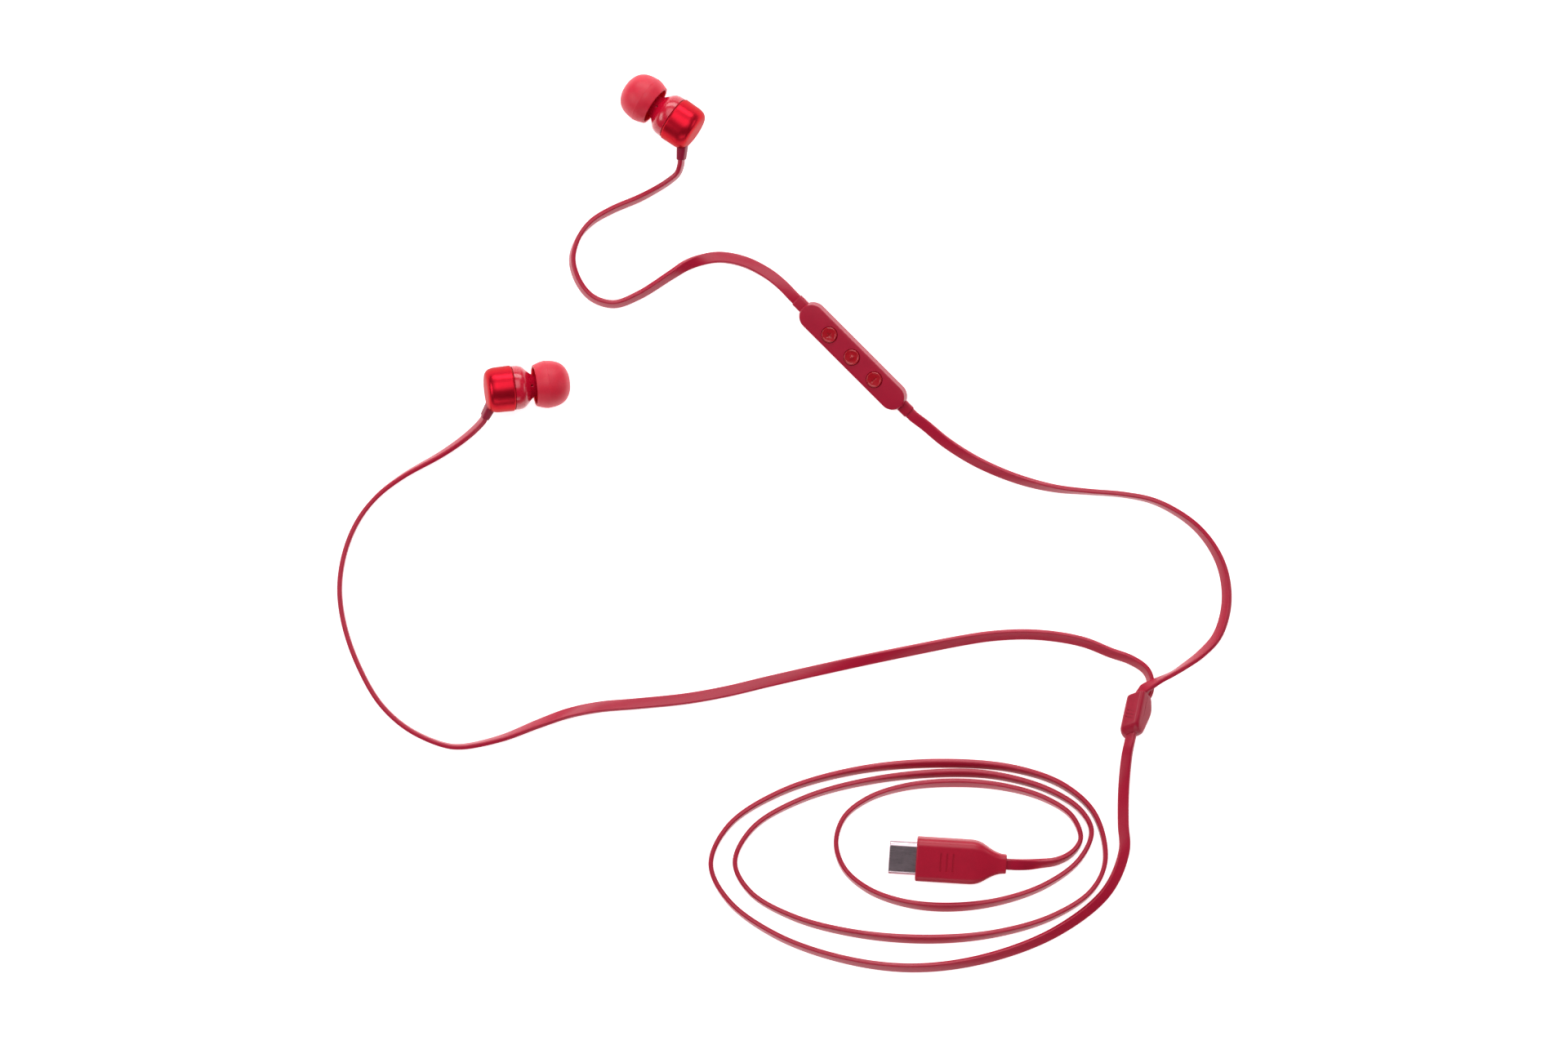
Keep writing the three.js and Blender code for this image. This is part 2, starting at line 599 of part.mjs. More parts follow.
/** The stops of the coil, four to each quarter, turned from a side to a bottom or top and back. */
function coilStops() {
  const stops = [COIL_STOPS[0].slice(0, 3)];
  for (let quarter = 1; quarter < COIL_STOPS.length; quarter += 1) {
    const [x0, y0, lean0] = COIL_STOPS[quarter - 1];
    const [x1, y1, lean1, fullness] = COIL_STOPS[quarter];
    const fromSide = quarter % 2 === 1;
    for (let step = 1; step <= QUARTER_STEPS; step += 1) {
      const rise = sine((90 * step) / QUARTER_STEPS) ** fullness;
      const fall = Math.max(0, cosine((90 * step) / QUARTER_STEPS)) ** fullness;
      const [forX, forY] = fromSide ? [1 - fall, rise] : [rise, 1 - fall];
      stops.push([
        THREE.MathUtils.lerp(x0, x1, forX),
        THREE.MathUtils.lerp(y0, y1, forY),
        THREE.MathUtils.lerp(lean0, lean1, step / QUARTER_STEPS),
      ]);
    }
  }
  return stops;
}

/** A smooth route through [x, y, z] points whose wide face leans by its own angle at each of them. */
class LeaningRoute extends THREE.CatmullRomCurve3 {
  constructor(points, leans) {
    super(points, false, 'centripetal');
    this.leans = new THREE.SplineCurve(leans.map((lean, i) => new THREE.Vector2(i, lean)));
  }

  /** The lean part of the way along. */
  leanAt(share) {
    return this.leans.getPoint(this.getUtoTmapping(share)).y;
  }

  /** The directions of the cable's width and of its wide face, in place of the curve's own. */
  computeFrenetFrames(segments) {
    const frames = { tangents: [], normals: [], binormals: [] };
    const vertical = new THREE.Vector3(0, 0, 1);
    for (let i = 0; i <= segments; i += 1) {
      const tangent = this.getTangentAt(i / segments);
      const left = new THREE.Vector3().crossVectors(vertical, tangent).normalize();
      const up = new THREE.Vector3().crossVectors(tangent, left);
      const lean = this.leanAt(i / segments);
      const face = up.multiplyScalar(cosine(lean)).addScaledVector(left, sine(lean));
      frames.tangents.push(tangent);
      frames.normals.push(new THREE.Vector3().crossVectors(face, tangent));
      frames.binormals.push(face);
    }
    return frames;
  }
}

/** How high the middle of a cable is when it rests on the table, leaning by an angle. */
function restingHeight(lean) {
  const across = (CABLE.width / 2 - CABLE.edge) * Math.abs(sine(lean));
  const up = (CABLE.thickness / 2 - CABLE.edge) * Math.abs(cosine(lean));
  return across + up + CABLE.edge + TABLE_GAP;
}

const stopPoint = ([x, y, lean, lift = 0]) => new THREE.Vector3(x, y, lift + restingHeight(lean));

/** The end of a route: points straight out of a piece, in the layout, and the cable's lean there. */
function exitFrom(group, end, direction, widthAxis, reach) {
  const towards = direction.clone().transformDirection(group.matrixWorld);
  const width = widthAxis.clone().transformDirection(group.matrixWorld);
  const start = end.clone().addScaledVector(direction, END_GAP).applyMatrix4(group.matrixWorld);
  const points = [start, start.clone().addScaledVector(towards, reach)];
  return { points, towards, width };
}

/** The lean of a cable that travels one way with its width on a known line, nearest to a given lean. */
function leanOf(travel, width, near) {
  const left = new THREE.Vector3(0, 0, 1).cross(travel).normalize();
  const up = new THREE.Vector3().crossVectors(travel, left);
  const face = new THREE.Vector3().crossVectors(travel, width);
  const lean = THREE.MathUtils.radToDeg(Math.atan2(face.dot(left), face.dot(up)));
  return lean + 180 * Math.round((near - lean) / 180);
}

/** A way out of the splitter, in its own frame: forward, turned to the right and then tipped down. */
function splitterWay(right, down) {
  const roll = -SPLITTER.roll;
  const level = new THREE.Vector3(cosine(right), -sine(right) * cosine(roll), -sine(right) * sine(roll));
  const upward = new THREE.Vector3(0, -sine(roll), cosine(roll));
  return level.multiplyScalar(cosine(down)).addScaledVector(upward, -sine(down));
}

/** A plain flat cable from one exit through its stops to another. */
function flatCable(name, from, stops, to) {
  const first = leanOf(from.towards, from.width, stops[0][2]);
  const last = leanOf(to.towards.clone().negate(), to.width, stops[stops.length - 1][2]);
  const points = [...from.points, ...stops.map(stopPoint), ...to.points.slice().reverse()];
  const leans = [first, first, ...stops.map((stop) => stop[2]), last, last];
  const route = new LeaningRoute(points, leans);
  route.arcLengthDivisions = 40 * points.length;
  const steps = Math.round(route.getLength() / (2.4 * CABLE.width));
  const section = new THREE.Shape(
    roundedRectangle(CABLE.width, CABLE.thickness, CABLE.edge, 1).map(([u, v]) => new THREE.Vector2(u, v)),
  );
  const geometry = new THREE.ExtrudeGeometry(section, { steps, extrudePath: route, bevelEnabled: false });
  addPiece(layout, name, welded(geometry), MATERIAL.cableRed);
}

// ---------------------------------------------------------------- assembly

const rightEar = earphone('right', RIGHT_EAR);
const leftEar = earphone('left', LEFT_EAR);
const remoteGroup = remote();
for (const own of [rightEar, leftEar, remoteGroup]) {
  ownBox.expandByObject(own, true);
}
const splitterGroup = splitter();
const plugGroup = plug();

const FORWARD = new THREE.Vector3(1, 0, 0);
const BACKWARD = new THREE.Vector3(-1, 0, 0);
const ACROSS = new THREE.Vector3(0, 1, 0);

const rightExit = exitFrom(rightEar, bootEnd, bootDirection, ACROSS, 0.8);
const leftExit = exitFrom(leftEar, bootEnd, bootDirection, ACROSS, 0.8);
const remoteUpper = exitFrom(remoteGroup, new THREE.Vector3(-REMOTE.reliefEnd, 0, 0), BACKWARD, ACROSS, 1);
const remoteLower = exitFrom(remoteGroup, new THREE.Vector3(REMOTE.reliefEnd, 0, 0), FORWARD, ACROSS, 1);
const turnedWidth = new THREE.Vector3(0, cosine(15), -sine(15));
const splitterFront = exitFrom(splitterGroup, new THREE.Vector3(6.05, -0.8, 0.2), splitterWay(22, -6), ACROSS, 0.4);
const splitterRear = exitFrom(splitterGroup, new THREE.Vector3(4.9, -0.6, -2), splitterWay(20, 24), turnedWidth, 0.4);
const splitterBottom = exitFrom(splitterGroup, new THREE.Vector3(-5.65, 0, 0), BACKWARD, ACROSS, 1);
const plugTail = exitFrom(plugGroup, new THREE.Vector3(-PLUG.length, 0, 0), BACKWARD, ACROSS, 1);

flatCable('right_ear_cable', rightExit, UPPER_STOPS, remoteUpper);
flatCable('remote_to_splitter_cable', remoteLower, LOWER_STOPS, splitterFront);
flatCable('left_ear_cable', leftExit, LEFT_STOPS, splitterRear);
flatCable('plug_cable', splitterBottom, [...MAIN_STOPS, ...coilStops(), ...TAIL_STOPS], plugTail);

const ownCentre = ownBox.getCenter(new THREE.Vector3());
layout.position.set(-ownCentre.x, -ownCentre.y, 0);
earphones.updateMatrixWorld(true);

export default earphones;
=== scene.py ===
"""Looks of the wired earphones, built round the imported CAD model.

Shapes are drawn in millimetres in each assembly's own frame: +X forward, +Y left and +Z up. Forward is the
way to the ear tip, the remote's lower end, the splitter's two-cable end or the plug's steel shell. Shapes
are then made metres and put in place.
"""

import math

import bmesh
import bpy
from mathutils import Matrix, Vector


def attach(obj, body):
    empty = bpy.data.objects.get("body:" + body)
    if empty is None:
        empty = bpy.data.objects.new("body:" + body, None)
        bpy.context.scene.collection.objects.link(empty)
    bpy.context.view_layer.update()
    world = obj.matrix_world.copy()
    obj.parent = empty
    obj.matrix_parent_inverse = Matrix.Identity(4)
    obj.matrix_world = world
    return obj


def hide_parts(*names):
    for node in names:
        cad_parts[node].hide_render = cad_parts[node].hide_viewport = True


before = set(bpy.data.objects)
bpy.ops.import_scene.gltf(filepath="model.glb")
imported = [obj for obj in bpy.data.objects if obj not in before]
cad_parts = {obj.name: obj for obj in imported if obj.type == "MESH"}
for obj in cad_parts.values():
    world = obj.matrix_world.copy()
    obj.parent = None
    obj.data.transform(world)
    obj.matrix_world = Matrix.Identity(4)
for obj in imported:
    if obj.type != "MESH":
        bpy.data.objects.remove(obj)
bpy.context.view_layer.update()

MM = 0.001
SHIFT = Vector((20.733, -65.964, 0))  # takes a place in the layout to its place in the CAD frame


# ---------------------------------------------------------------- places
# The assemblies lie on a layout in millimetres and degrees, whose middle is under the camera.


def placement(x, y, z, heading, dip=0, roll=0):
    """The matrix of an assembly's frame. Dip lowers its front and roll turns it about its own length."""
    turn = Matrix.Rotation(math.radians(heading), 4, "Z")
    turn @= Matrix.Rotation(math.radians(dip), 4, "Y")
    turn @= Matrix.Rotation(math.radians(roll), 4, "X")
    return Matrix.Translation(Vector((x, y, z)) + SHIFT) @ turn


RIGHT_ROLL = 72
LEFT_ROLL = -55
SPLITTER_ROLL = 41
RIGHT_EAR = placement(-26.6, 96.9, 6.804, heading=145.4, dip=8, roll=RIGHT_ROLL)
LEFT_EAR = placement(-64.9, 32.2, 7.102, heading=6.6, dip=10, roll=LEFT_ROLL)
REMOTE = placement(16.6, 40, 2.106, heading=-45, roll=12)
SPLITTER = placement(84.3, -46.3, 3.723, heading=78, roll=-SPLITTER_ROLL)
PLUG = placement(31.7, -80.7, 3.23, heading=176.5, roll=-11)
WORLD = Matrix.Identity(4)


# ---------------------------------------------------------------- mesh helpers


def rounded(corners, steps=5):
    """An outline with rounded corners. A corner is (u, v) or (u, v, how far back its rounding starts)."""
    points = []
    for i, corner in enumerate(corners):
        here = Vector(corner[:2])
        reach = corner[2] if len(corner) > 2 else 0
        if not reach:
            points.append(here)
            continue
        before = (Vector(corners[i - 1][:2]) - here).normalized() * reach
        after = (Vector(corners[(i + 1) % len(corners)][:2]) - here).normalized() * reach
        for step in range(steps + 1):
            t = step / steps
            points.append(here + before * (1 - t) ** 2 + after * t**2)
    return points


def smooth_value(four, t):
    """A value between the second and the third of four, on a smooth run through all of them."""
    p, q, r, s = four
    slope = r - p
    bend = 2 * p - 5 * q + 4 * r - s
    swing = 3 * q - p - 3 * r + s
    return 0.5 * (2 * q + slope * t + bend * t**2 + swing * t**3)


def through(stations, steps):
    """A smooth run of tuples through the given ones, with a number of steps between each two."""
    run = []
    last = len(stations) - 1
    for i in range(last):
        a, b, c, d = (stations[min(max(i + k, 0), last)] for k in (-1, 0, 1, 2))
        for step in range(steps):
            t = step / steps
            run.append(tuple(smooth_value(four, t) for four in zip(a, b, c, d)))
    run.append(tuple(stations[last]))
    return run


def rounded_rectangle(width, height, radius, steps=6):
    """A rectangle about the origin with a number of steps round each corner."""
    points = []
    for side_u, side_v, start in ((1, 1, 0), (-1, 1, 90), (-1, -1, 180), (1, -1, 270)):
        for i in range(steps + 1):
            angle = math.radians(start + 90 * i / steps)
            u = side_u * (width / 2 - radius) + radius * math.cos(angle)
            v = side_v * (height / 2 - radius) + radius * math.sin(angle)
            points.append((u, v))
    return points


def stadium(half_length, half_width, steps=24):
    """A rectangle with fully round ends, which its half length includes."""
    points = []
    for side, start in ((1, -90), (-1, 90)):
        for i in range(steps + 1):
            angle = math.radians(start + 180 * i / steps)
            u = side * (half_length - half_width) + half_width * math.cos(angle)
            points.append((u, half_width * math.sin(angle)))
    return points


def circle(radius, sides=32):
    angles = [2 * math.pi * i / sides for i in range(sides)]
    return [(radius * math.cos(angle), radius * math.sin(angle)) for angle in angles]


def along_x(x, outline):
    return [Vector((x, u, v)) for u, v in outline]


def along_z(z, outline, x=0, y=0):
    return [Vector((x + u, y + v, z)) for u, v in outline]


SAME_PLACE = 1e-4
SLIVER = 1e-5


def tidy(mesh):
    """Merges shared corners, drops slivers and turns every face outwards."""
    work = bmesh.new()
    work.from_mesh(mesh)
    bmesh.ops.remove_doubles(work, verts=work.verts, dist=SAME_PLACE)
    bmesh.ops.dissolve_degenerate(work, edges=work.edges, dist=SLIVER)
    loose = [edge for edge in work.edges if not edge.link_faces]
    bmesh.ops.delete(work, geom=loose, context="EDGES")
    bmesh.ops.recalc_face_normals(work, faces=work.faces)
    work.to_mesh(mesh)
    work.free()
    return mesh


def mesh_of(points, faces):
    mesh = bpy.data.meshes.new("shape")
    mesh.from_pydata([Vector(point) for point in points], [], faces)
    return tidy(mesh)


def loft(rings, closed=False):
    """A skin over rings of equal counts: capped at both ends, or joined into a loop when closed."""
    count = len(rings[0])
    points = [point for ring in rings for point in ring]
    faces = []
    for ring in range(len(rings) - (0 if closed else 1)):
        start = ring * count
        following = ((ring + 1) % len(rings)) * count
        for i in range(count):
            j = (i + 1) % count
            faces.append((start + i, start + j, following + j, following + i))
    if not closed:
        faces.append(tuple(range(count))[::-1])
        faces.append(tuple(range(len(points) - count, len(points))))
    return mesh_of(points, faces)


def turned(profile, sides=112):
    """A closed (x, radius) profile turned about the X axis."""
    rings = []
    for i in range(sides):
        angle = 2 * math.pi * i / sides
        rings.append([Vector((x, r * math.cos(angle), r * math.sin(angle))) for x, r in profile])
    return loft(rings, closed=True)


def bar(outline, x0, x1):
    return loft([along_x(x0, outline), along_x(x1, outline)])


def slab(outline, z0, z1, x=0, y=0):
    return loft([along_z(z0, outline, x, y), along_z(z1, outline, x, y)])


def stacked_circles(stations, x, sides):
    """A skin over circles about an upright line at x. A station is (height, radius)."""
    return loft([along_z(z, circle(radius, sides), x) for z, radius in stations])


def merged(*meshes):
    """One mesh that holds several."""
    work = bmesh.new()
    for mesh in meshes:
        work.from_mesh(mesh)
    result = bpy.data.meshes.new("shape")
    work.to_mesh(result)
    work.free()
    return result


def in_scene(name, data):
    made = bpy.data.objects.new(name, data)
    bpy.context.scene.collection.objects.link(made)
    return made


def evaluated(body):
    """The mesh of an object with its modifiers applied. The object is then removed."""
    bpy.context.view_layer.update()
    depsgraph = bpy.context.evaluated_depsgraph_get()
    mesh = bpy.data.meshes.new_from_object(body.evaluated_get(depsgraph))
    bpy.data.objects.remove(body)
    return mesh


def combined(operation, mesh, *others):
    """The first mesh with the others taken out of it or added to it."""
    body = in_scene("body", mesh)
    tool = in_scene("tool", merged(*others))
    modifier = body.modifiers.new("combine", "BOOLEAN")
    modifier.operation = operation
    modifier.solver = "EXACT"
    modifier.use_self = len(others) > 1
    modifier.object = tool
    result = evaluated(body)
    bpy.data.objects.remove(tool)
    return tidy(result)


def cut(mesh, *others):
    return combined("DIFFERENCE", mesh, *others)


def joined(mesh, *others):
    return combined("UNION", mesh, *others)


def softened(mesh, width, angle):
    """Rounds the edges that are sharper than an angle."""
    body = in_scene("body", mesh)
    modifier = body.modifiers.new("soften", "BEVEL")
    modifier.width = width
    modifier.segments = 2
    modifier.limit_method = "ANGLE"
    modifier.angle_limit = math.radians(angle)
    modifier.use_clamp_overlap = True
    return tidy(evaluated(body))


def piece(name, mesh, place, material, node, sharp, body="headset"):
    """Puts a millimetre mesh in the scene as a piece that rides on a body and stands for a CAD node.

    Edges that turn by more degrees than the sharp angle are shaded as edges.
    """
    mesh.name = name
    mesh.transform(Matrix.Scale(MM, 4))
    mesh.polygons.foreach_set("use_smooth", [True] * len(mesh.polygons))
    mesh.set_sharp_from_angle(angle=math.radians(sharp))
    mesh.materials.clear()
    mesh.materials.append(material)
    made = in_scene(name, mesh)
    made.matrix_world = Matrix.Translation(place.translation * MM) @ place.to_3x3().to_4x4()
    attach(made, body)
    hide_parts(node)
    return made


# ---------------------------------------------------------------- materials
# Colours are linear. Texture coordinates are the piece's own millimetres, so noise is per millimetre too.


class Surface:
    """A procedural material: a Principled shader whose colour, roughness and bump come from noise."""

    def __init__(self, name, slot, color, roughness, metallic=0.0):
        self.material = bpy.data.materials.new(name)
        self.material.use_nodes = True
        self.tree = self.material.node_tree
        self.shader = self.tree.nodes["Principled BSDF"]
        self.shader.inputs["Metallic"].default_value = metallic
        self.color = (*color, 1)
        self.middle_roughness = roughness
        self.roughness = roughness
        self.normal = None
        position = self.node("ShaderNodeTexCoord").outputs["Object"]
        self.position = self.maths("SCALE", position, scale=1 / MM, kind="ShaderNodeVectorMath")

    def node(self, kind, **inputs):
        made = self.tree.nodes.new(kind)
        for name, value in inputs.items():
            self.feed(made.inputs[name], value)
        return made

    def feed(self, socket, value):
        if isinstance(value, bpy.types.NodeSocket):
            self.tree.links.new(value, socket)
        else:
            socket.default_value = value

    def maths(self, operation, *values, scale=None, kind="ShaderNodeMath"):
        made = self.tree.nodes.new(kind)
        made.operation = operation
        for socket, value in zip(made.inputs, values):
            self.feed(socket, value)
        if scale is not None:
            made.inputs["Scale"].default_value = scale
        return made.outputs[0]

    def stretched(self, x, y, z):
        """The position with each axis scaled, so that noise on it runs in streaks."""
        return self.maths("MULTIPLY", self.position, (x, y, z), kind="ShaderNodeVectorMath")

    def turned_marks(self, per_mm):
        """A position that changes only along the X axis and away from it, as a lathe's marks do."""
        parts = self.node("ShaderNodeSeparateXYZ", Vector=self.position)
        square_y = self.maths("MULTIPLY", parts.outputs["Y"], parts.outputs["Y"])
        square_z = self.maths("MULTIPLY", parts.outputs["Z"], parts.outputs["Z"])
        radius = self.maths("SQRT", self.maths("ADD", square_y, square_z))
        together = self.node("ShaderNodeCombineXYZ", X=parts.outputs["X"], Y=radius)
        return self.maths("SCALE", together.outputs["Vector"], scale=per_mm, kind="ShaderNodeVectorMath")

    def noise(self, scale, detail=3.0, position=None):
        made = self.node("ShaderNodeTexNoise", Vector=position or self.position, Scale=scale, Detail=detail)
        return made.outputs["Fac"]

    def ramp(self, value, low, high, source=(0.3, 0.7)):
        made = self.node("ShaderNodeMapRange", Value=value)
        made.inputs["From Min"].default_value, made.inputs["From Max"].default_value = source
        made.inputs["To Min"].default_value = low
        made.inputs["To Max"].default_value = high
        return made.outputs["Result"]

    def tint(self, value, other, amount=1.0, source=(0.3, 0.7)):
        """Mixes the colour so far with another one where a value is high."""
        mix = self.tree.nodes.new("ShaderNodeMix")
        mix.data_type = "RGBA"
        self.feed(mix.inputs["Factor"], self.ramp(value, 0, amount, source))
        self.feed(mix.inputs["A"], self.color)
        self.feed(mix.inputs["B"], (*other, 1))
        self.color = mix.outputs["Result"]
        return self

    def polish(self, value, spread):
        """Varies the roughness by a spread either way."""
        self.roughness = self.ramp(value, self.middle_roughness - spread, self.middle_roughness + spread)
        return self

    def relief(self, value, height_mm):
        """Adds bump of a height; several calls add up."""
        made = self.node("ShaderNodeBump", Height=value, Strength=1.0)
        made.inputs["Distance"].default_value = height_mm * MM
        if self.normal is not None:
            self.feed(made.inputs["Normal"], self.normal)
        self.normal = made.outputs["Normal"]
        return self

    def done(self, **shader_values):
        """Connects all of it to the shader and sets the shader's other values, named with _ for a space."""
        self.feed(self.shader.inputs["Base Color"], self.color)
        self.feed(self.shader.inputs["Roughness"], self.roughness)
        if self.normal is not None:
            self.feed(self.shader.inputs["Normal"], self.normal)
        for name, value in shader_values.items():
            self.shader.inputs[name.replace("_", " ")].default_value = value
        return self.material


def shade(color, factor):
    return tuple(channel * factor for channel in color)


def moulded(name, slot, color, roughness, grain_mm, height_mm, **shader_values):
    """A moulded plastic or rubber skin: fine grain, slow mottling and slightly uneven gloss."""
    made = Surface(name, slot, color, roughness)
    made.tint(made.noise(0.35), shade(color, 1.15), 0.6)
    made.tint(made.noise(2.5), shade(color, 0.86), 0.4)
    grain = made.noise(1 / grain_mm, 2)
    made.polish(grain, 0.05)
    made.relief(grain, height_mm)
    return made.done(**shader_values)


CABLE_RED = moulded(
    "cable_jacket_red",
    "cable_jacket",
    (0.44, 0.003, 0.032),
    roughness=0.34,
    grain_mm=0.1,
    height_mm=0.0015,
)
SATIN = {"color": (0.41, 0.002, 0.028), "roughness": 0.36, "grain_mm": 0.09, "height_mm": 0.002}
SATIN_RED = moulded("satin_red", "satin_cover", **SATIN)
SLEEVE_RED = moulded("sleeve_red", "relief_rubber", **SATIN)
GRIP_RED = moulded(
    "grip_red",
    "grip_rubber",
    (0.47, 0.003, 0.028),
    roughness=0.38,
    grain_mm=0.11,
    height_mm=0.002,
)
RELIEF_RED = moulded(
    "relief_red",
    "relief_rubber",
    (0.29, 0.001, 0.030),
    roughness=0.46,
    grain_mm=0.1,
    height_mm=0.002,
    Specular_IOR_Level=0.3,
)
BUTTON_RED = moulded(
    "button_red",
    "button_cap",
    (0.42, 0.0005, 0.010),
    roughness=0.28,
    grain_mm=0.2,
    height_mm=0.0006,
    Coat_Weight=0.3,
)
TIP_RED = moulded(
    "silicone_red",
    "ear_tip_silicone",
    (0.68, 0.011, 0.040),
    roughness=0.46,
    grain_mm=0.16,
    height_mm=0.002,
    Subsurface_Weight=0.35,
    Subsurface_Scale=0.0012,
    Subsurface_Radius=(1.0, 0.25, 0.2),
)
GLOSS_RED = moulded(
    "gloss_red",
    "gloss_housing",
    (0.60, 0.003, 0.028),
    roughness=0.27,
    grain_mm=0.6,
    height_mm=0.0008,
    Coat_Weight=0.4,
    Coat_Roughness=0.12,
)


def shell_red():
    """Anodised aluminium with fine turning marks."""
    color = (0.56, 0.006, 0.022)
    made = Surface("anodised_red", "anodised_shell", color, roughness=0.34, metallic=0.7)
    marks = made.noise(1.0, 4, made.turned_marks(12))
    made.tint(marks, shade(color, 0.92), 0.4)
    made.tint(made.noise(0.4), shade(color, 1.1), 0.6)
    made.polish(marks, 0.03)
    made.relief(marks, 0.0002)
    made.relief(made.noise(14), 0.0003)
    return made.done(Coat_Weight=0.08, Coat_Roughness=0.3, Specular_Tint=(0.55, 0.03, 0.07, 1))


def drawn_steel():
    """Bright steel with faint lengthwise draw marks and a few finger smudges, tinted pink as a painted
    reflection of the red surroundings.
    """
    # Painted reflection: the pink in this steel colour and in the smudge colour stands in for red
    # surroundings reflected in the steel; only the smudges' darker patches are random.
    color = (0.78, 0.60, 0.66)
    made = Surface("drawn_steel", "plug_steel", color, roughness=0.3, metallic=1.0)
    marks = made.noise(1.0, 4, made.stretched(0.4, 12, 12))
    made.tint(made.noise(0.5), (0.46, 0.37, 0.40), 0.5)
    made.polish(marks, 0.04)
    made.relief(marks, 0.0002)
    return made.done()


def gold():
    made = Surface("gold_plate", "gold_contacts", (0.86, 0.60, 0.22), roughness=0.25, metallic=1.0)
    wipe = made.noise(1.0, 3, made.stretched(1, 12, 12))
    made.tint(made.noise(3), (0.70, 0.45, 0.18), 0.5)
    return made.polish(wipe, 0.1).relief(wipe, 0.0006).done()


def black_plastic(name, slot):
    made = Surface(name, slot, (0.012, 0.012, 0.013), roughness=0.5)
    grain = made.noise(9)
    made.tint(made.noise(0.8), (0.03, 0.03, 0.032), 0.6)
    return made.polish(grain, 0.08).relief(grain, 0.002).done()


def circuit_board():
    """Green solder mask over copper tracks, with tinned pads at the spots' middles."""
    made = Surface("solder_mask", "circuit_board", (0.006, 0.09, 0.03), roughness=0.35)
    tracks = made.node("ShaderNodeTexBrick", Vector=made.position, Scale=1.3)
    pads = made.node("ShaderNodeTexVoronoi", Vector=made.position, Scale=1.1).outputs["Distance"]
    made.tint(tracks.outputs["Fac"], (0.02, 0.20, 0.07), source=(0.4, 0.6))
    made.tint(pads, (0.55, 0.55, 0.52), source=(0.22, 0.12))
    return made.polish(made.noise(6), 0.08).relief(tracks.outputs["Fac"], 0.02).done()


def plain_metal(name, slot, color, roughness):
    made = Surface(name, slot, color, roughness, metallic=1.0)
    marks = made.noise(1.0, 5, made.turned_marks(7))
    made.tint(made.noise(1.2), shade(color, 0.75), 0.6)
    return made.polish(marks, 0.08).relief(marks, 0.001).done()


def fibres():
    made = Surface("black_felt", "felt", (0.02, 0.02, 0.022), roughness=0.95)
    strands = made.noise(5, 8, made.stretched(1, 3, 9))
    made.tint(strands, (0.07, 0.07, 0.08), 0.8)
    return made.polish(strands, 0.04).relief(strands, 0.08).done(Sheen_Weight=0.4)


def film():
    made = Surface("amber_film", "diaphragm_film", (0.45, 0.32, 0.10), roughness=0.2)
    rings = made.noise(1.0, 2, made.turned_marks(3))
    made.tint(rings, (0.55, 0.42, 0.18), 0.6)
    return made.polish(rings, 0.05).relief(rings, 0.01).done(Coat_Weight=0.3)


SHELL_RED = shell_red()
STEEL = drawn_steel()
GOLD = gold()
BLACK = black_plastic("black_insert", "black_plastic")
DARK = black_plastic("dark_component", "dark_parts")
BOARD = circuit_board()
SCREEN_METAL = plain_metal("screen_metal", "screen_mesh", (0.42, 0.33, 0.33), roughness=0.35)
DRIVER_METAL = plain_metal("driver_metal_plate", "driver_metal", (0.5, 0.5, 0.52), roughness=0.35)
MAGNET = plain_metal("nickel_plate", "driver_magnet", (0.45, 0.44, 0.42), roughness=0.28)
FELT = fibres()
FILM = film()

INNER_MATERIALS = {
    "driver_frame": DRIVER_METAL,
    "driver_magnet": MAGNET,
    "driver_diaphragm": FILM,
    "damping_felt": FELT,
    "remote_circuit_board": BOARD,
    "remote_microphone": DARK,
    "_switch": DARK,
    "splitter_wire_joint": DARK,
    "contact_carrier": BLACK,
    "_contacts": GOLD,
    "converter_board": BOARD,
    "converter_chip": DARK,
}


def inner_materials():
    """Gives each CAD node that stays as it is its own procedural material."""
    for name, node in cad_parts.items():
        for ending, material in INNER_MATERIALS.items():
            if name.endswith(ending):
                node.data.materials.clear()
                node.data.materials.append(material)


# ---------------------------------------------------------------- flat cables
# A stop is (x, y, lean, lift) in millimetres and degrees: lean is how far the cable's wide face is turned
# from lying flat towards the left of its travel, and lift is how far it is held off the table.

CABLE_WIDTH = 2.7
CABLE_THICKNESS = 1.15
CABLE_EDGE = 0.36  # radius of its long edges
SLOT_PLAY = 0.08  # how much wider than the cable the slots round it are
TABLE_GAP = 0.02
END_GAP = 0.3  # from a piece to the first point of the cable's line
RING_STEP = 0.8  # about the longest distance between the cable's rings
RING_TURN = 4  # about the most degrees that it turns from one ring to the next
TUCKED_IN = 1.9  # how far a cable's end runs into the piece that holds it

# Ways and places where the cables leave, each in its assembly's own frame.
FORWARD = Vector((1, 0, 0))
LEFTWARD = Vector((0, 1, 0))
BOOT_ANGLE = math.radians(63)
BOOT_WAY = Vector((-math.cos(BOOT_ANGLE), 0, -math.sin(BOOT_ANGLE)))
BOOT_END = Vector((-7, 0, -7.35))
REMOTE_END = Vector((19.2, 0, 0))
GRIP_LENGTH = 21.7
FRONT_EXIT = Vector((6.05, -0.8, 0.2))
REAR_EXIT = Vector((4.9, -0.6, -2))
BOTTOM_EXIT = Vector((-5.65, 0, 0))
REAR_TWIST = math.radians(15)  # how far the rear cable is turned about its own line where it leaves

UPPER_STOPS = [
    (-25.5, 83.8, 78, 2.9), (-27.7, 81.9, 76, 1.9), (-31, 79.9, 75, 0.9), (-34.9, 77.9, 70, 0.3),
    (-41.5, 75.1, 70), (-46.3, 72.2, 78), (-49.5, 68.3, 95), (-50.9, 63.2, 107), (-49.3, 57.8, 111),
    (-46, 54, 113), (-40.9, 52.5, 116), (-35, 54.6, 120), (-27.2, 59.5, 128), (-23.4, 61.9, 150),
    (-19.8, 63.2, 175), (-15.3, 63.8, 197), (-9.5, 62.7, 200), (-3.8, 59.8, 188, 0.35),
    (-0.2, 56.9, 176, 1),
]

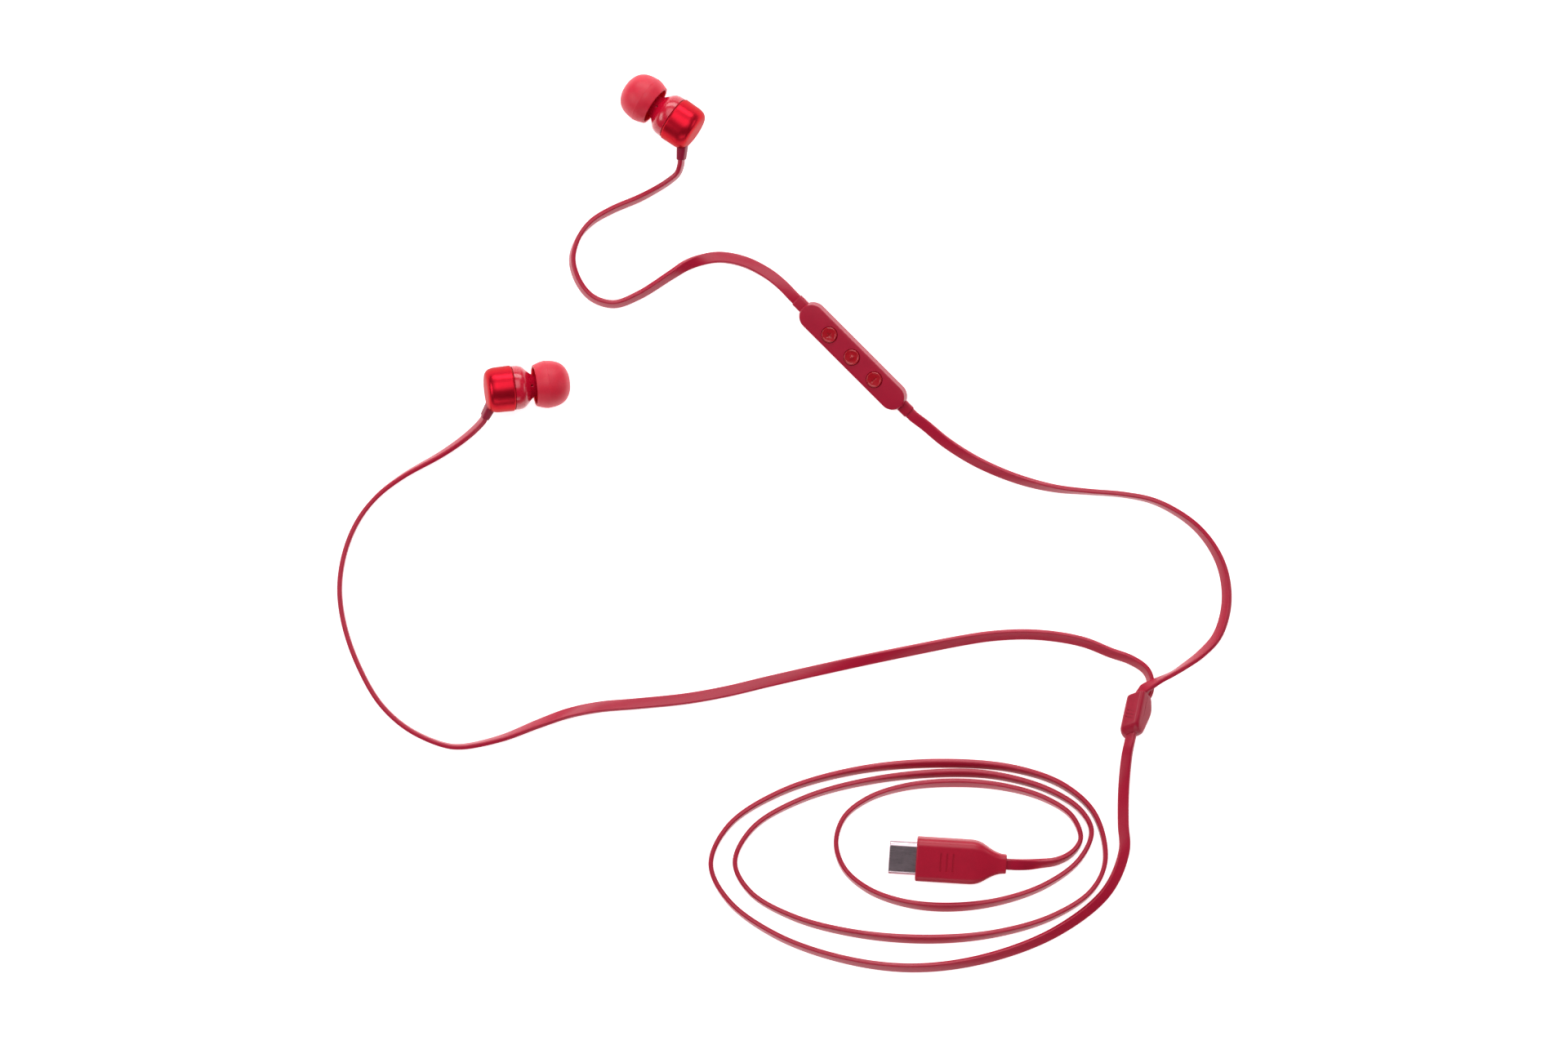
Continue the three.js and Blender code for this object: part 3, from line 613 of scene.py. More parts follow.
LOWER_STOPS = [
    (33.9, 23.4, -14, 0.9), (38.9, 19.3, -22, 0.2), (45.5, 15.1, -32), (52.3, 11.9, -42), (59, 9.6, -52),
    (65.8, 8.1, -66), (73, 7.4, -78), (81.5, 6.7, -80), (88.4, 5.3, -76), (94.1, 2.6, -71),
    (99.2, -1.2, -65), (103, -5.9, -58), (105.4, -11, -52), (106.4, -16.7, -48), (106, -22, -47),
    (104, -27.5, -51), (100.2, -31.6, -61, 0.6), (96.2, -34.5, -74, 1.6), (93.3, -36.3, -82, 2.5),
    (90.3, -37.7, -74, 3.3), (88.1, -38.9, -55, 3.3),
]

LEFT_STOPS = [
    (-74.6, 22.1, 116, 1.1), (-78.2, 19.2, 113, 0.3), (-82.7, 16.2, 108), (-91.8, 11, 99), (-97.9, 6.2, 94),
    (-102.4, 0.4, 90), (-105.5, -7, 90), (-106.8, -15.7, 90), (-105.7, -24.6, 90), (-102.2, -34.6, 90),
    (-97, -43.6, 90), (-90.4, -49.6, 88), (-82, -53.4, 85), (-77.6, -53.9, 82), (-68, -51.9, 72),
    (-59, -48.4, 55), (-51.9, -45.9, 40), (-44.5, -44.4, 28), (-35.4, -43.6, 22), (-23.6, -42.4, 17),
    (-14, -40.7, 12), (-3.9, -38.3, 6, 0.05), (7.9, -35.6, 0, 0.1), (19.7, -33, -14, 0.05),
    (31.4, -30.6, -27), (43.2, -28.3, -33), (50, -27.3, -35), (58.2, -26.9, -36), (65.8, -27.5, -36),
    (72.5, -28.9, -38), (78.5, -31.3, -42), (83.3, -33, -47), (86.7, -35.2, -56), (87.9, -37.3, -67, 0.05),
    (88, -39.8, -69, 0.35),
]

MAIN_STOPS = [
    (82.4, -55.6, -33, 1.8), (81.9, -60.5, -23, 0.8), (81.6, -66.3, -13, 0.2), (81.6, -72.6, -4, 0.1),
]

# The loose coil: (x, y, lean, fullness) where each quarter ends. Fullness below 1 squares a quarter off.
COIL_STOPS = [
    (81.8, -79, 12, 1), (31.2, -107.1, 50, 1.1), (-17.6, -82.1, 90, 1.1), (37.3, -57.9, 128, 1.02),
    (77.2, -81.2, 90, 0.8), (35, -100.2, 50, 1), (-11.8, -81.7, 90, 1), (42.4, -60.2, 124, 1.02),
    (73.9, -74.3, 90, 1.08), (39.3, -92.5, 50, 1.05), (12.5, -77, 90, 0.95), (41.3, -62.6, 124, 0.9),
    (71.3, -75.4, 90, 1), (61.5, -82, 45, 1),
]
TAIL_STOPS = [(58.8, -82.2, 26, 1), (56.5, -82.2, 14, 1.9)]
QUARTER_STEPS = 4


def mixed(a, b, share):
    """The value a share of the way from a to b."""
    return a + (b - a) * share


def coil_stops():
    """The stops of the coil, four to each quarter, turned from a side to a bottom or top and back."""
    stops = [COIL_STOPS[0][:3]]
    for quarter in range(1, len(COIL_STOPS)):
        x0, y0, lean0, _ = COIL_STOPS[quarter - 1]
        x1, y1, lean1, fullness = COIL_STOPS[quarter]
        for step in range(1, QUARTER_STEPS + 1):
            angle = math.radians(90 * step / QUARTER_STEPS)
            rise = math.sin(angle) ** fullness
            fall = max(0, math.cos(angle)) ** fullness
            for_x, for_y = (1 - fall, rise) if quarter % 2 else (rise, 1 - fall)
            lean = mixed(lean0, lean1, step / QUARTER_STEPS)
            stops.append((mixed(x0, x1, for_x), mixed(y0, y1, for_y), lean))
    return stops


def stop_point(x, y, lean, lift=0):
    """Where the middle of the cable is at a stop, resting on the table or held above it."""
    across = (CABLE_WIDTH / 2 - CABLE_EDGE) * abs(math.sin(math.radians(lean)))
    up = (CABLE_THICKNESS / 2 - CABLE_EDGE) * abs(math.cos(math.radians(lean)))
    return Vector((x, y, lift + across + up + CABLE_EDGE + TABLE_GAP)) + SHIFT


def exit_from(place, end, direction, reach, across=LEFTWARD):
    """Two points on the way out of a piece, that way, and the line that the cable's width follows there."""
    towards = (place.to_3x3() @ direction).normalized()
    width = place.to_3x3() @ across
    start = place @ (end + direction * END_GAP)
    return [start, start + towards * reach], towards, width


def lean_of(travel, width, near):
    """The lean of a cable that travels one way with its width on a known line, nearest to a given lean."""
    left = Vector((0, 0, 1)).cross(travel).normalized()
    up = travel.cross(left)
    face = travel.cross(width)
    lean = math.degrees(math.atan2(face.dot(left), face.dot(up)))
    return lean + 180 * round((near - lean) / 180)


def splitter_way(right, down):
    """A way out of the splitter, in its own frame: forward, turned to the right and then tipped down."""
    right, down, roll = (math.radians(angle) for angle in (right, down, SPLITTER_ROLL))
    level = Vector((math.cos(right), -math.sin(right) * math.cos(roll), -math.sin(right) * math.sin(roll)))
    upward = Vector((0, -math.sin(roll), math.cos(roll)))
    return level * math.cos(down) - upward * math.sin(down)


def cable_line(points, leans):
    """Places along a centripetal curve through the points, each with its lean."""
    padded = [points[0] * 2 - points[1], *points, points[-1] * 2 - points[-2]]
    tilts = [leans[0], *leans, leans[-1]]
    line = []
    for i in range(len(points) - 1):
        before, a, b, after = padded[i : i + 4]
        gaps = [math.sqrt((q - p).length) for p, q in ((before, a), (a, b), (b, after))]
        leave = (a - before) / gaps[0] - (b - before) / (gaps[0] + gaps[1]) + (b - a) / gaps[1]
        reach = (b - a) / gaps[1] - (after - a) / (gaps[1] + gaps[2]) + (after - b) / gaps[2]
        leave *= gaps[1]
        reach *= gaps[1]
        turn = math.degrees(leave.angle(reach)) if leave.length and reach.length else 0
        steps = max(1, round((b - a).length / RING_STEP), round(turn / RING_TURN))
        for step in range(steps):
            t = step / steps
            bend = b * 3 - a * 3 - leave * 2 - reach
            swing = a * 2 - b * 2 + leave + reach
            place = a + leave * t + bend * t**2 + swing * t**3
            line.append((place, smooth_value(tilts[i : i + 4], t)))
    line.append((points[-1], leans[-1]))
    return line


def cable_rings(line):
    """The cable's rounded section at every place of its line, square to the line and turned by its lean."""
    section = rounded_rectangle(CABLE_WIDTH, CABLE_THICKNESS, CABLE_EDGE, 5)
    rings = []
    for i, (place, lean) in enumerate(line):
        travel = (line[min(i + 1, len(line) - 1)][0] - line[max(i - 1, 0)][0]).normalized()
        left = Vector((0, 0, 1)).cross(travel).normalized()
        up = travel.cross(left)
        face = up * math.cos(math.radians(lean)) + left * math.sin(math.radians(lean))
        width = face.cross(travel)
        rings.append([place + width * u + face * v for u, v in section])
    return rings


def flat_cable(name, start, stops, end):
    """Builds one cable from exit to exit and returns it with its line in metres and its length."""
    (out_points, out_way, out_width), (in_points, in_way, in_width) = start, end
    first = lean_of(out_way, out_width, stops[0][2])
    last = lean_of(-in_way, in_width, stops[-1][2])
    points = [*out_points, *(stop_point(*stop) for stop in stops), *reversed(in_points)]
    leans = [first, first, *(stop[2] for stop in stops), last, last]
    line = cable_line(points, leans)
    line.insert(0, (line[0][0] - out_way * TUCKED_IN, first))
    line.append((line[-1][0] - in_way * TUCKED_IN, last))
    made = piece(f"{name}_jacket", loft(cable_rings(line)), WORLD, CABLE_RED, name, sharp=60)
    centres = [place * MM for place, _ in line]
    length = sum((b - a).length for a, b in zip(centres, centres[1:]))
    return made, centres, length


def cables():
    """The four cables by name."""
    twisted = Vector((0, math.cos(REAR_TWIST), -math.sin(REAR_TWIST)))
    right = exit_from(RIGHT_EAR, BOOT_END, BOOT_WAY, reach=0.8)
    left = exit_from(LEFT_EAR, BOOT_END, BOOT_WAY, reach=0.8)
    upper = exit_from(REMOTE, -REMOTE_END, -FORWARD, reach=1)
    lower = exit_from(REMOTE, REMOTE_END, FORWARD, reach=1)
    front = exit_from(SPLITTER, FRONT_EXIT, splitter_way(right=22, down=-6), reach=0.4)
    rear = exit_from(SPLITTER, REAR_EXIT, splitter_way(right=20, down=24), reach=0.4, across=twisted)
    bottom = exit_from(SPLITTER, BOTTOM_EXIT, -FORWARD, reach=1)
    tail = exit_from(PLUG, -FORWARD * GRIP_LENGTH, -FORWARD, reach=1)
    routes = {
        "right_ear_cable": (right, UPPER_STOPS, upper),
        "remote_to_splitter_cable": (lower, LOWER_STOPS, front),
        "left_ear_cable": (left, LEFT_STOPS, rear),
        "plug_cable": (bottom, MAIN_STOPS + coil_stops() + TAIL_STOPS, tail),
    }
    return {name: flat_cable(name, *route) for name, route in routes.items()}


# ---------------------------------------------------------------- earphones

TIP_SKIN = [
    (5.34, 4.97), (6.6, 5.42), (7.4, 5.62), (8.1, 5.68), (9.2, 5.6), (10.2, 5.42), (11.2, 5.08),
    (12.1, 4.53), (12.8, 3.78), (13.3, 2.88), (13.56, 2.2),
]
TIP_NOSE = [(13.58, 1.9, 0.15), (13.3, 1.64, 0.15), (10.5, 1.62, 0.2), (10, 2.85, 0.2)]
TIP_SLEEVE = [(6.9, 2.85, 0.15), (6.9, 3.4, 0.2)]
TIP_INSIDE = [
    (11, 3.45), (11.35, 3.75), (11.2, 4.1), (10.5, 4.5), (9.4, 4.85), (8, 4.98), (6.6, 4.83), (5.4, 4.4),
]
TIP_RIM = [(5.25, 4.52), (5.2, 4.7), (5.24, 4.86)]
SKIRT_RADIUS = 5.68
RIDGE_X = 8.1  # where the mould's parting line is
RIDGE_HEIGHT = 0.045
RIDGE_FOOT = 0.1
RIDGE_CREST = 0.03
RIDGE_CLEAR = 0.12  # how far the skin's own points stay away from the ridge


def parting_ridge():
    """The thin raised line that the mould leaves round the skirt."""
    crest = SKIRT_RADIUS + RIDGE_HEIGHT
    crest_points = [(RIDGE_X - RIDGE_CREST, crest), (RIDGE_X + RIDGE_CREST, crest)]
    return [(RIDGE_X - RIDGE_FOOT, SKIRT_RADIUS), *crest_points, (RIDGE_X + RIDGE_FOOT, SKIRT_RADIUS)]


def ear_tip(side, place):
    """A soft mushroom: a hollow skirt round a sleeve that grips the nozzle, rolled in at its nose."""
    skin = [point for point in through(TIP_SKIN, 5) if abs(point[0] - RIDGE_X) > RIDGE_CLEAR]
    before = [point for point in skin if point[0] < RIDGE_X]
    after = [point for point in skin if point[0] > RIDGE_X]
    outside = [*before, *parting_ridge(), *after]
    inside = through(TIP_INSIDE, 5)
    profile = rounded([*outside, *TIP_NOSE, *TIP_SLEEVE, *inside, *TIP_RIM], 4)
    node = f"{side}_ear_tip"
    piece(f"{side}_ear_tip_skirt", turned(profile), place, TIP_RED, node, sharp=50, body=node)


HOUSING_PROFILE = [
    (-1.2, 4.58), (-1.2, 4.76, 0.06), (0.03, 4.76), (0.03, 5.31, 0.1), (1.5, 5.32, 0.7), (2.5, 4.95, 0.5),
    (3.4, 4.05, 0.5), (4.3, 3.05, 0.4), (5.1, 2.6, 0.4), (5.8, 2.32, 0.3), (8.9, 2.3, 0.1), (9.1, 2.6, 0.1),
    (9.8, 2.3, 0.15), (9.8, 1.5, 0.1), (5, 1.5, 0.3), (3.4, 2.6, 0.3), (2.4, 4.3, 0.3), (1.8, 4.58, 0.15),
]
VENT = Vector((4.3, 0, 3.15))
VENT_RADIUS = 0.18
VENT_INNER_END = 1.5
DIMPLE_RADIUS = 0.42
DIMPLE_STEPS = 16


def vent_tool(roll):
    """What is taken out of the neck for the vent: a pin hole under a round dimple, facing up."""
    hole = slab(circle(VENT_RADIUS, 24), VENT_INNER_END, VENT.z, VENT.x)
    bowl = []
    for step in range(1, DIMPLE_STEPS):
        angle = math.pi * step / DIMPLE_STEPS
        bowl.append((VENT.z - DIMPLE_RADIUS * math.cos(angle), DIMPLE_RADIUS * math.sin(angle)))
    tool = joined(hole, stacked_circles(bowl, VENT.x, 24))
    tool.transform(Matrix.Rotation(math.radians(-roll), 4, "X"))
    return tool


def front_housing(side, place, roll):
    """The glossy housing and its nozzle."""
    body = cut(turned(rounded(HOUSING_PROFILE, 6)), vent_tool(roll))
    piece(f"{side}_housing_body", body, place, GLOSS_RED, f"{side}_front_housing", sharp=38)


SHELL_PROFILE = [
    (-0.05, 4.82), (-0.05, 5.22, 0.05), (-0.4, 5.5, 0.1), (-4.6, 5.42, 0.6), (-5.75, 5.05, 0.5),
    (-6.4, 4.35, 0.45), (-6.62, 3.3, 0.55), (-6.65, 0), (-6.05, 0), (-5.9, 3.4, 0.4), (-5.5, 4.1, 0.3),
    (-4.6, 4.8, 0.3),
]
BOOT_LENGTH = 5
BOOT_OUTER = (3.0, 1.9)
BOOT_INNER = (3.2, 2.5)
BOOT_CORNER = 0.75
BOOT_PLAY = 0.24
BOOT_EDGE = [(-0.22, 0), (-0.1, 0.05), (-0.03, 0.14), (0, 0.3)]  # (distance from the end, less width)


def at_boot(mesh):
    """Carries a mesh whose outer end is at the origin, with its axis on +X, to the boot's place."""
    up = BOOT_WAY.cross(LEFTWARD)
    turn = Matrix((BOOT_WAY, LEFTWARD, up)).transposed().to_4x4()
    mesh.transform(Matrix.Translation(BOOT_END) @ turn)
    return mesh


def boot_ring(x, less=0.0):
    """The boot's outline at a distance from its outer end, where it is narrower and flatter."""
    share = min(1, -x / BOOT_LENGTH)
    width, thickness = (mixed(outer, inner, share) - less for outer, inner in zip(BOOT_OUTER, BOOT_INNER))
    return along_x(x, rounded_rectangle(width, thickness, BOOT_CORNER - less / 3, 8))


def cable_slot(x0, x1, play, corner):
    """What is taken out of a piece for the cable's end."""
    return bar(rounded_rectangle(CABLE_WIDTH + play, CABLE_THICKNESS + play, corner), x0, x1)


def strain_relief(side, place):
    """A short soft boot that tapers to the cable, with a small rounded edge and a slot for it."""
    body = loft([boot_ring(-BOOT_LENGTH), *(boot_ring(x, less) for x, less in BOOT_EDGE)])
    body = at_boot(cut(body, cable_slot(-1.2, 1, SLOT_PLAY, corner=0.4)))
    piece(f"{side}_boot", body, place, RELIEF_RED, f"{side}_strain_relief", sharp=40)


def rear_shell(side, place):
    """The turned metal shell, with its polished lip and the opening for the boot."""
    opening = at_boot(loft([boot_ring(-BOOT_LENGTH - 0.5, -BOOT_PLAY), boot_ring(0, -BOOT_PLAY)]))
    body = cut(turned(rounded(SHELL_PROFILE, 6), 128), opening)
    piece(f"{side}_shell_body", body, place, SHELL_RED, f"{side}_rear_shell", sharp=36)


SCREEN_X = 9.3
SCREEN_RADIUS = 1.32
SCREEN_FRAME = [(9.1, 1.3, 0.04), (9.1, 1.48, 0.04), (9.5, 1.48, 0.04), (9.5, 1.3, 0.04)]
WIRE_PITCH = 0.22
WIRE_RADIUS = 0.045
WIRE_WAVE = 1.05 * WIRE_RADIUS  # how far a wire swings to pass over and under the others


def screen_wire(line, crossing):
    """One wire of the weave, upright or, as a crossing one, level."""
    offset = line * WIRE_PITCH
    half = math.sqrt(max(0.01, SCREEN_RADIUS**2 - offset**2))
    steps = max(4, round(2 * half / WIRE_PITCH * 3))
    side_way = Vector((0, 0, 1)) if crossing else LEFTWARD
    rings = []
    for step in range(steps + 1):
        reach = -half + 2 * half * step / steps
        x = SCREEN_X + math.cos(math.pi * (reach / WIRE_PITCH + line + crossing)) * WIRE_WAVE
        spot = Vector((x, reach, offset) if crossing else (x, offset, reach))
        rings.append([spot + FORWARD * u + side_way * v for u, v in circle(WIRE_RADIUS, 6)])
    return loft(rings)


def nozzle_screen(side, place):
    """A disc of woven wire in a thin ring."""
    count = int(SCREEN_RADIUS / WIRE_PITCH)
    wires = [screen_wire(line, crossing) for line in range(-count, count + 1) for crossing in (0, 1)]
    body = merged(*wires, turned(rounded(SCREEN_FRAME, 3), 64))
    piece(f"{side}_screen_weave", body, place, SCREEN_METAL, f"{side}_nozzle_screen", sharp=60)


def earphone(side, place, roll):
    ear_tip(side, place)
    front_housing(side, place, roll)
    rear_shell(side, place)
    strain_relief(side, place)
    nozzle_screen(side, place)


# ---------------------------------------------------------------- inline remote

HALF_LENGTH = 17
HALF_WIDTH = 3.4
BUTTON_PITCH = 7.6
RELIEF_WIDTH = 3.1
RELIEF_THICKNESS = 1.8
CAVITY = stadium(15.7, 2.5)
FACE_WALL = [(0.06, 0.04), (0.1, 0), (0.9, 0.14), (2.3, 0.38)]  # (height, how far in from the outline)
FACE_EDGE = 0.2
BACK_WALL = [
    (-0.02, 0.05), (-0.08, 0), (-1, 0.15), (-1.45, 0.5), (-1.62, 0.85), (-2.09, 3.02), (-2.131, 3.3),
]
WELL = [(1.5, 1.98), (2.44, 1.98), (2.52, 2.06), (3, 2.06)]  # (height, radius)
MICROPHONE_X = 11.6
PORT_RADIUS = 0.35


def remote_ring(z, inset):
    return along_z(z, stadium(HALF_LENGTH - inset, HALF_WIDTH - inset))


def relief_opening(end):
    return bar(rounded_rectangle(RELIEF_WIDTH + 0.3, RELIEF_THICKNESS + 0.4, 0.6), end * 15, end * 18)


def remote_front_cover():
    """The button face: sides that lean in, a narrow rounded edge and three wells."""
    rings = [remote_ring(z, inset) for z, inset in FACE_WALL]
    wall_top, wall_inset = FACE_WALL[-1]
    for step in range(1, 7):
        angle = math.radians(90 * step / 6)
        height = wall_top + FACE_EDGE * math.sin(angle)
        rings.append(remote_ring(height, wall_inset + FACE_EDGE * (1 - math.cos(angle))))
    wells = [stacked_circles(WELL, place * BUTTON_PITCH, 64) for place in (-1, 0, 1)]
    body = cut(loft(rings), slab(CAVITY, -1, 1.8))
    body = cut(body, *wells)
    body = cut(body, relief_opening(1), relief_opening(-1))
    piece("remote_face", body, REMOTE, SATIN_RED, "remote_front_cover", sharp=38)


def remote_back_cover():
    """The faceted underside, with the microphone's port."""
    rings = [remote_ring(z, inset) for z, inset in BACK_WALL]
    port = slab(circle(PORT_RADIUS, 24), -3, -1, MICROPHONE_X, 1.1)
    body = cut(loft(rings), slab(CAVITY, -1.3, 1), port)
    body = cut(body, relief_opening(1), relief_opening(-1))
    piece("remote_back", body, REMOTE, SATIN_RED, "remote_back_cover", sharp=30)


# (height, radius) from the stem up over the cap's rim, and down into its dished middle.
CAP = [
    (0.95, 0.8), (1.1, 0.82), (1.1, 2.16), (1.14, 2.2), (1.42, 2.2), (1.45, 1.92), (1.5, 1.9), (2.5, 1.9),
    (2.66, 1.88), (2.77, 1.82), (2.83, 1.74), (2.85, 1.64), (2.84, 1.55), (2.8, 1.47), (2.78, 1.35),
]
DOT = [(2.6, 0.34), (2.8, 0.34), (2.87, 0.32), (2.93, 0.27), (2.965, 0.19), (2.98, 0.09)]
DISH_HEIGHT = CAP[-1][0]
STROKE_LENGTH = 1.35
STROKE_WIDTH = 0.26
STROKE_DEPTH = 0.14


def sign_stroke(length, width, x, top):
    outline = rounded_rectangle(length, width, 0.12, 4)
    return slab(outline, DISH_HEIGHT - STROKE_DEPTH, top, x)


def remote_button(name, place, sign):
    """A domed cap with a dished middle and its sign on it: a raised dot, or strokes cut in."""
    x = place * BUTTON_PITCH
    body = stacked_circles(CAP, x, 64)
    if sign == "dot":
        body = joined(body, stacked_circles(DOT, x, 32))
    else:
        strokes = [sign_stroke(STROKE_WIDTH, STROKE_LENGTH, x, 3.2)]
        if sign == "plus":
            strokes.append(sign_stroke(STROKE_LENGTH, STROKE_WIDTH, x, 3.1))
        body = cut(body, *strokes)
    node = f"{name}_button"
    piece(f"{name}_cap", softened(body, 0.03, 60), REMOTE, BUTTON_RED, node, sharp=30, body=node)


def remote_relief(name, end):
    """The sleeve round the cable's end: a wide foot inside the remote, and a small edge at its mouth."""
    outer_end = REMOTE_END.x
    foot = [(13.6, 4.0), (14.2, 4.0), (14.22, RELIEF_WIDTH)]
    mouth = [(0.35, RELIEF_WIDTH), (0.16, 3.06), (0.05, 2.96), (0, 2.82)]  # (distance from the end, width)
    stations = foot + [(outer_end - back, width) for back, width in mouth]
    rings = []
    for x, width in stations:
        thickness = RELIEF_THICKNESS - (RELIEF_WIDTH - min(width, RELIEF_WIDTH))
        rings.append(along_x(end * x, rounded_rectangle(width, thickness, 0.5)))
    slot = cable_slot(end * (outer_end - 1), end * 20, play=0.06, corner=0.44)
    body = cut(loft(rings), slot)
    piece(f"remote_{name}_sleeve", body, REMOTE, SLEEVE_RED, f"remote_{name}_relief", sharp=36)


def remote():
    remote_front_cover()
    remote_back_cover()
    for name, place, sign in (("plus", -1, "plus"), ("play", 0, "dot"), ("minus", 1, "minus")):
        remote_button(name, place, sign)
    remote_relief("upper", -1)
    remote_relief("lower", 1)


# ---------------------------------------------------------------- Y splitter
# A station is (x, depth from the middle plane, half width).

FRONT_STATIONS = [
    (4.6, 1.75, 2.05), (4.5, 1.92, 2.25), (4.25, 2.05, 2.4), (3.8, 2.1, 2.46), (0, 2.1, 2.5),
    (-3, 2.1, 2.5), (-3.7, 1.96, 2.46), (-4.2, 1.68, 2.36), (-4.55, 1.34, 2.2), (-4.8, 1.0, 1.98),
]
REAR_STATIONS = [
    (4.6, 1.7, 2.05), (4.5, 1.95, 2.25), (4.1, 2.35, 2.42), (3.2, 2.8, 2.48), (2.2, 3.2, 2.5),
    (1.4, 3.3, 2.5), (0.4, 3.15, 2.5), (-1.2, 2.72, 2.47), (-3.6, 1.98, 2.42), (-4.3, 1.6, 2.3),
    (-4.8, 1.05, 1.98),
]
SPLITTER_EDGE = 1.0
SPLITTER_EDGE_STEPS = 10
HALF_SEAM = 0.04  # how far each half stays off the middle plane
SLANT_ACROSS = -0.5
SLANT_UP = 0.46
SPLITTER_GROOVE = rounded_rectangle(0.28, 2.1, 0.12, 4)
SPLITTER_GROOVE_PITCH = 0.8


def splitter_half(name, stations, side):
    """One moulded half: flat on the middle plane, rounded outside, with slanted ends."""
    rings = []
    for x, depth, half_width in through(stations, 4):
        edge = min(SPLITTER_EDGE, depth - 0.05)
        outline = rounded_rectangle(2 * half_width, 2 * depth, edge, SPLITTER_EDGE_STEPS)
        upper_half = outline[: 2 * (SPLITTER_EDGE_STEPS + 1)]
        half = [*upper_half, (-half_width, HALF_SEAM), (half_width, HALF_SEAM)]
        rings.append([Vector((x + SLANT_ACROSS * y + SLANT_UP * side * z, y, side * z)) for y, z in half])
    pocket = bar(rounded_rectangle(3.4, 2.6, 0.4), -2.6, 2.6)
    body = cut(loft(rings), pocket)
    if side > 0:
        for line in (-1, 0, 1):
            body = cut(body, slab(SPLITTER_GROOVE, 1.99, 3, 0.1 + SPLITTER_GROOVE_PITCH * line, 0.1))
    piece(f"splitter_{name}", body, SPLITTER, SATIN_RED, f"splitter_{name}_half", sharp=40)


# ---------------------------------------------------------------- USB-C plug
# A grip station is (x, width, thickness).

GRIP_WIDTH = 10.7
GRIP_THICKNESS = 5.2
GRIP_EDGE = 0.34
GRIP_STATIONS = [
    (-GRIP_EDGE, GRIP_WIDTH, GRIP_THICKNESS), (-4, GRIP_WIDTH, GRIP_THICKNESS),
    (-8, GRIP_WIDTH, GRIP_THICKNESS), (-12.2, GRIP_WIDTH, GRIP_THICKNESS), (-13.4, 10.64, 5.17),
    (-14.5, 10.35, 5.02), (-15.6, 9.6, 4.68), (-16.7, 8.35, 4.22), (-17.8, 6.95, 3.76),
    (-19, 5.72, 3.34), (-20.2, 4.9, 3.05), (-21.1, 4.66, 2.93), (-21.5, 4.6, 2.9),
]
GRIP_TAIL_EDGE = [(-21.62, 4.52, 2.82), (-GRIP_LENGTH, 4.36, 2.66)]
GRIP_GROOVE = rounded_rectangle(0.45, 4.6, 0.2, 5)
GRIP_GROOVE_PITCH = 1.5


def grip_ring(x, width, thickness):
    radius = min(1.8, thickness * 0.36)
    return along_x(x, rounded_rectangle(width, thickness, radius, 10))


def plug_grip():
    """The overmoulded grip: straight, then drawn in like a bottle's neck, with three short grip lines."""
    rings = []
    for step in range(7):
        angle = math.radians(90 * step / 6)
        less = 2 * GRIP_EDGE * (1 - math.sin(angle))
        back = GRIP_EDGE * (1 - math.cos(angle))
        rings.append(grip_ring(-back, GRIP_WIDTH - less, GRIP_THICKNESS - less))
    rings += [grip_ring(*station) for station in through(GRIP_STATIONS, 4)[1:]]
    rings += [grip_ring(*station) for station in GRIP_TAIL_EDGE]
    hole = bar(rounded_rectangle(8.65, 2.8, 1.35, 10), -2, 1)
    space = bar(rounded_rectangle(9, 3.6, 0.8), -13, -1.9)
    body = cut(loft(rings), hole, cable_slot(-23, -20.6, SLOT_PLAY, corner=0.44))
    body = cut(body, space)
    grooves = [slab(GRIP_GROOVE, 2.42, 4, -7.4 + GRIP_GROOVE_PITCH * line) for line in (-1, 0, 1)]
    body = cut(body, *grooves)
    piece("plug_overmould", body, PLUG, GRIP_RED, "plug_grip", sharp=40)


STEEL_WIDTH = 8.25
STEEL_HEIGHT = 2.4
STEEL_WALL = 0.3
MOUTH_X = 6.5
STEEL_TAIL_X = -1.6


def usb_shell():
    """The drawn steel shell with a rounded mouth."""
    outside = rounded_rectangle(STEEL_WIDTH, STEEL_HEIGHT, 1.15, 14)
    inside = rounded_rectangle(STEEL_WIDTH - 2 * STEEL_WALL, STEEL_HEIGHT - 2 * STEEL_WALL, 0.85, 14)

    def ring(outline, x, less):
        across = 1 - 2 * less / STEEL_WIDTH
        up = 1 - 2 * less / STEEL_HEIGHT
        return [Vector((x, y * across, z * up)) for y, z in outline]

    outer_lip = [(0.18, 0), (0.08, 0.03), (0.02, 0.08), (0, 0.14)]  # (distance from the mouth, less size)
    inner_lip = [(0, -0.08), (0.04, -0.02), (0.12, 0)]
    rings = [ring(outside, STEEL_TAIL_X, 0)]
    rings += [ring(outside, MOUTH_X - back, less) for back, less in outer_lip]
    rings += [ring(inside, MOUTH_X - back, less) for back, less in inner_lip]
    rings.append(ring(inside, STEEL_TAIL_X, 0))
    piece("plug_shell", loft(rings, closed=True), PLUG, STEEL, "usb_shell", sharp=50)


# ---------------------------------------------------------------- stage
# Everything on the stage is in metres and watts.

FLOOR_HALF = 4.0
MIDDLE = (0.02, -0.066, 0)
CAMERA_HEIGHT = 1.4148
LIGHTS = {  # place, width, height and power
    "key": ((0.02, 0.5, 1.5), 1.2, 1.2, 11),
    "low_key": ((0.05, 1.05, 0.5), 1.2, 0.4, 8),
    "fill": ((-0.1, -1.1, 0.55), 1.0, 0.35, 2),
    "left_side": ((-1.0, 0, 0.75), 0.8, 0.4, 4.5),
    "right_side": ((1.1, 0, 0.6), 0.8, 0.3, 2),
}


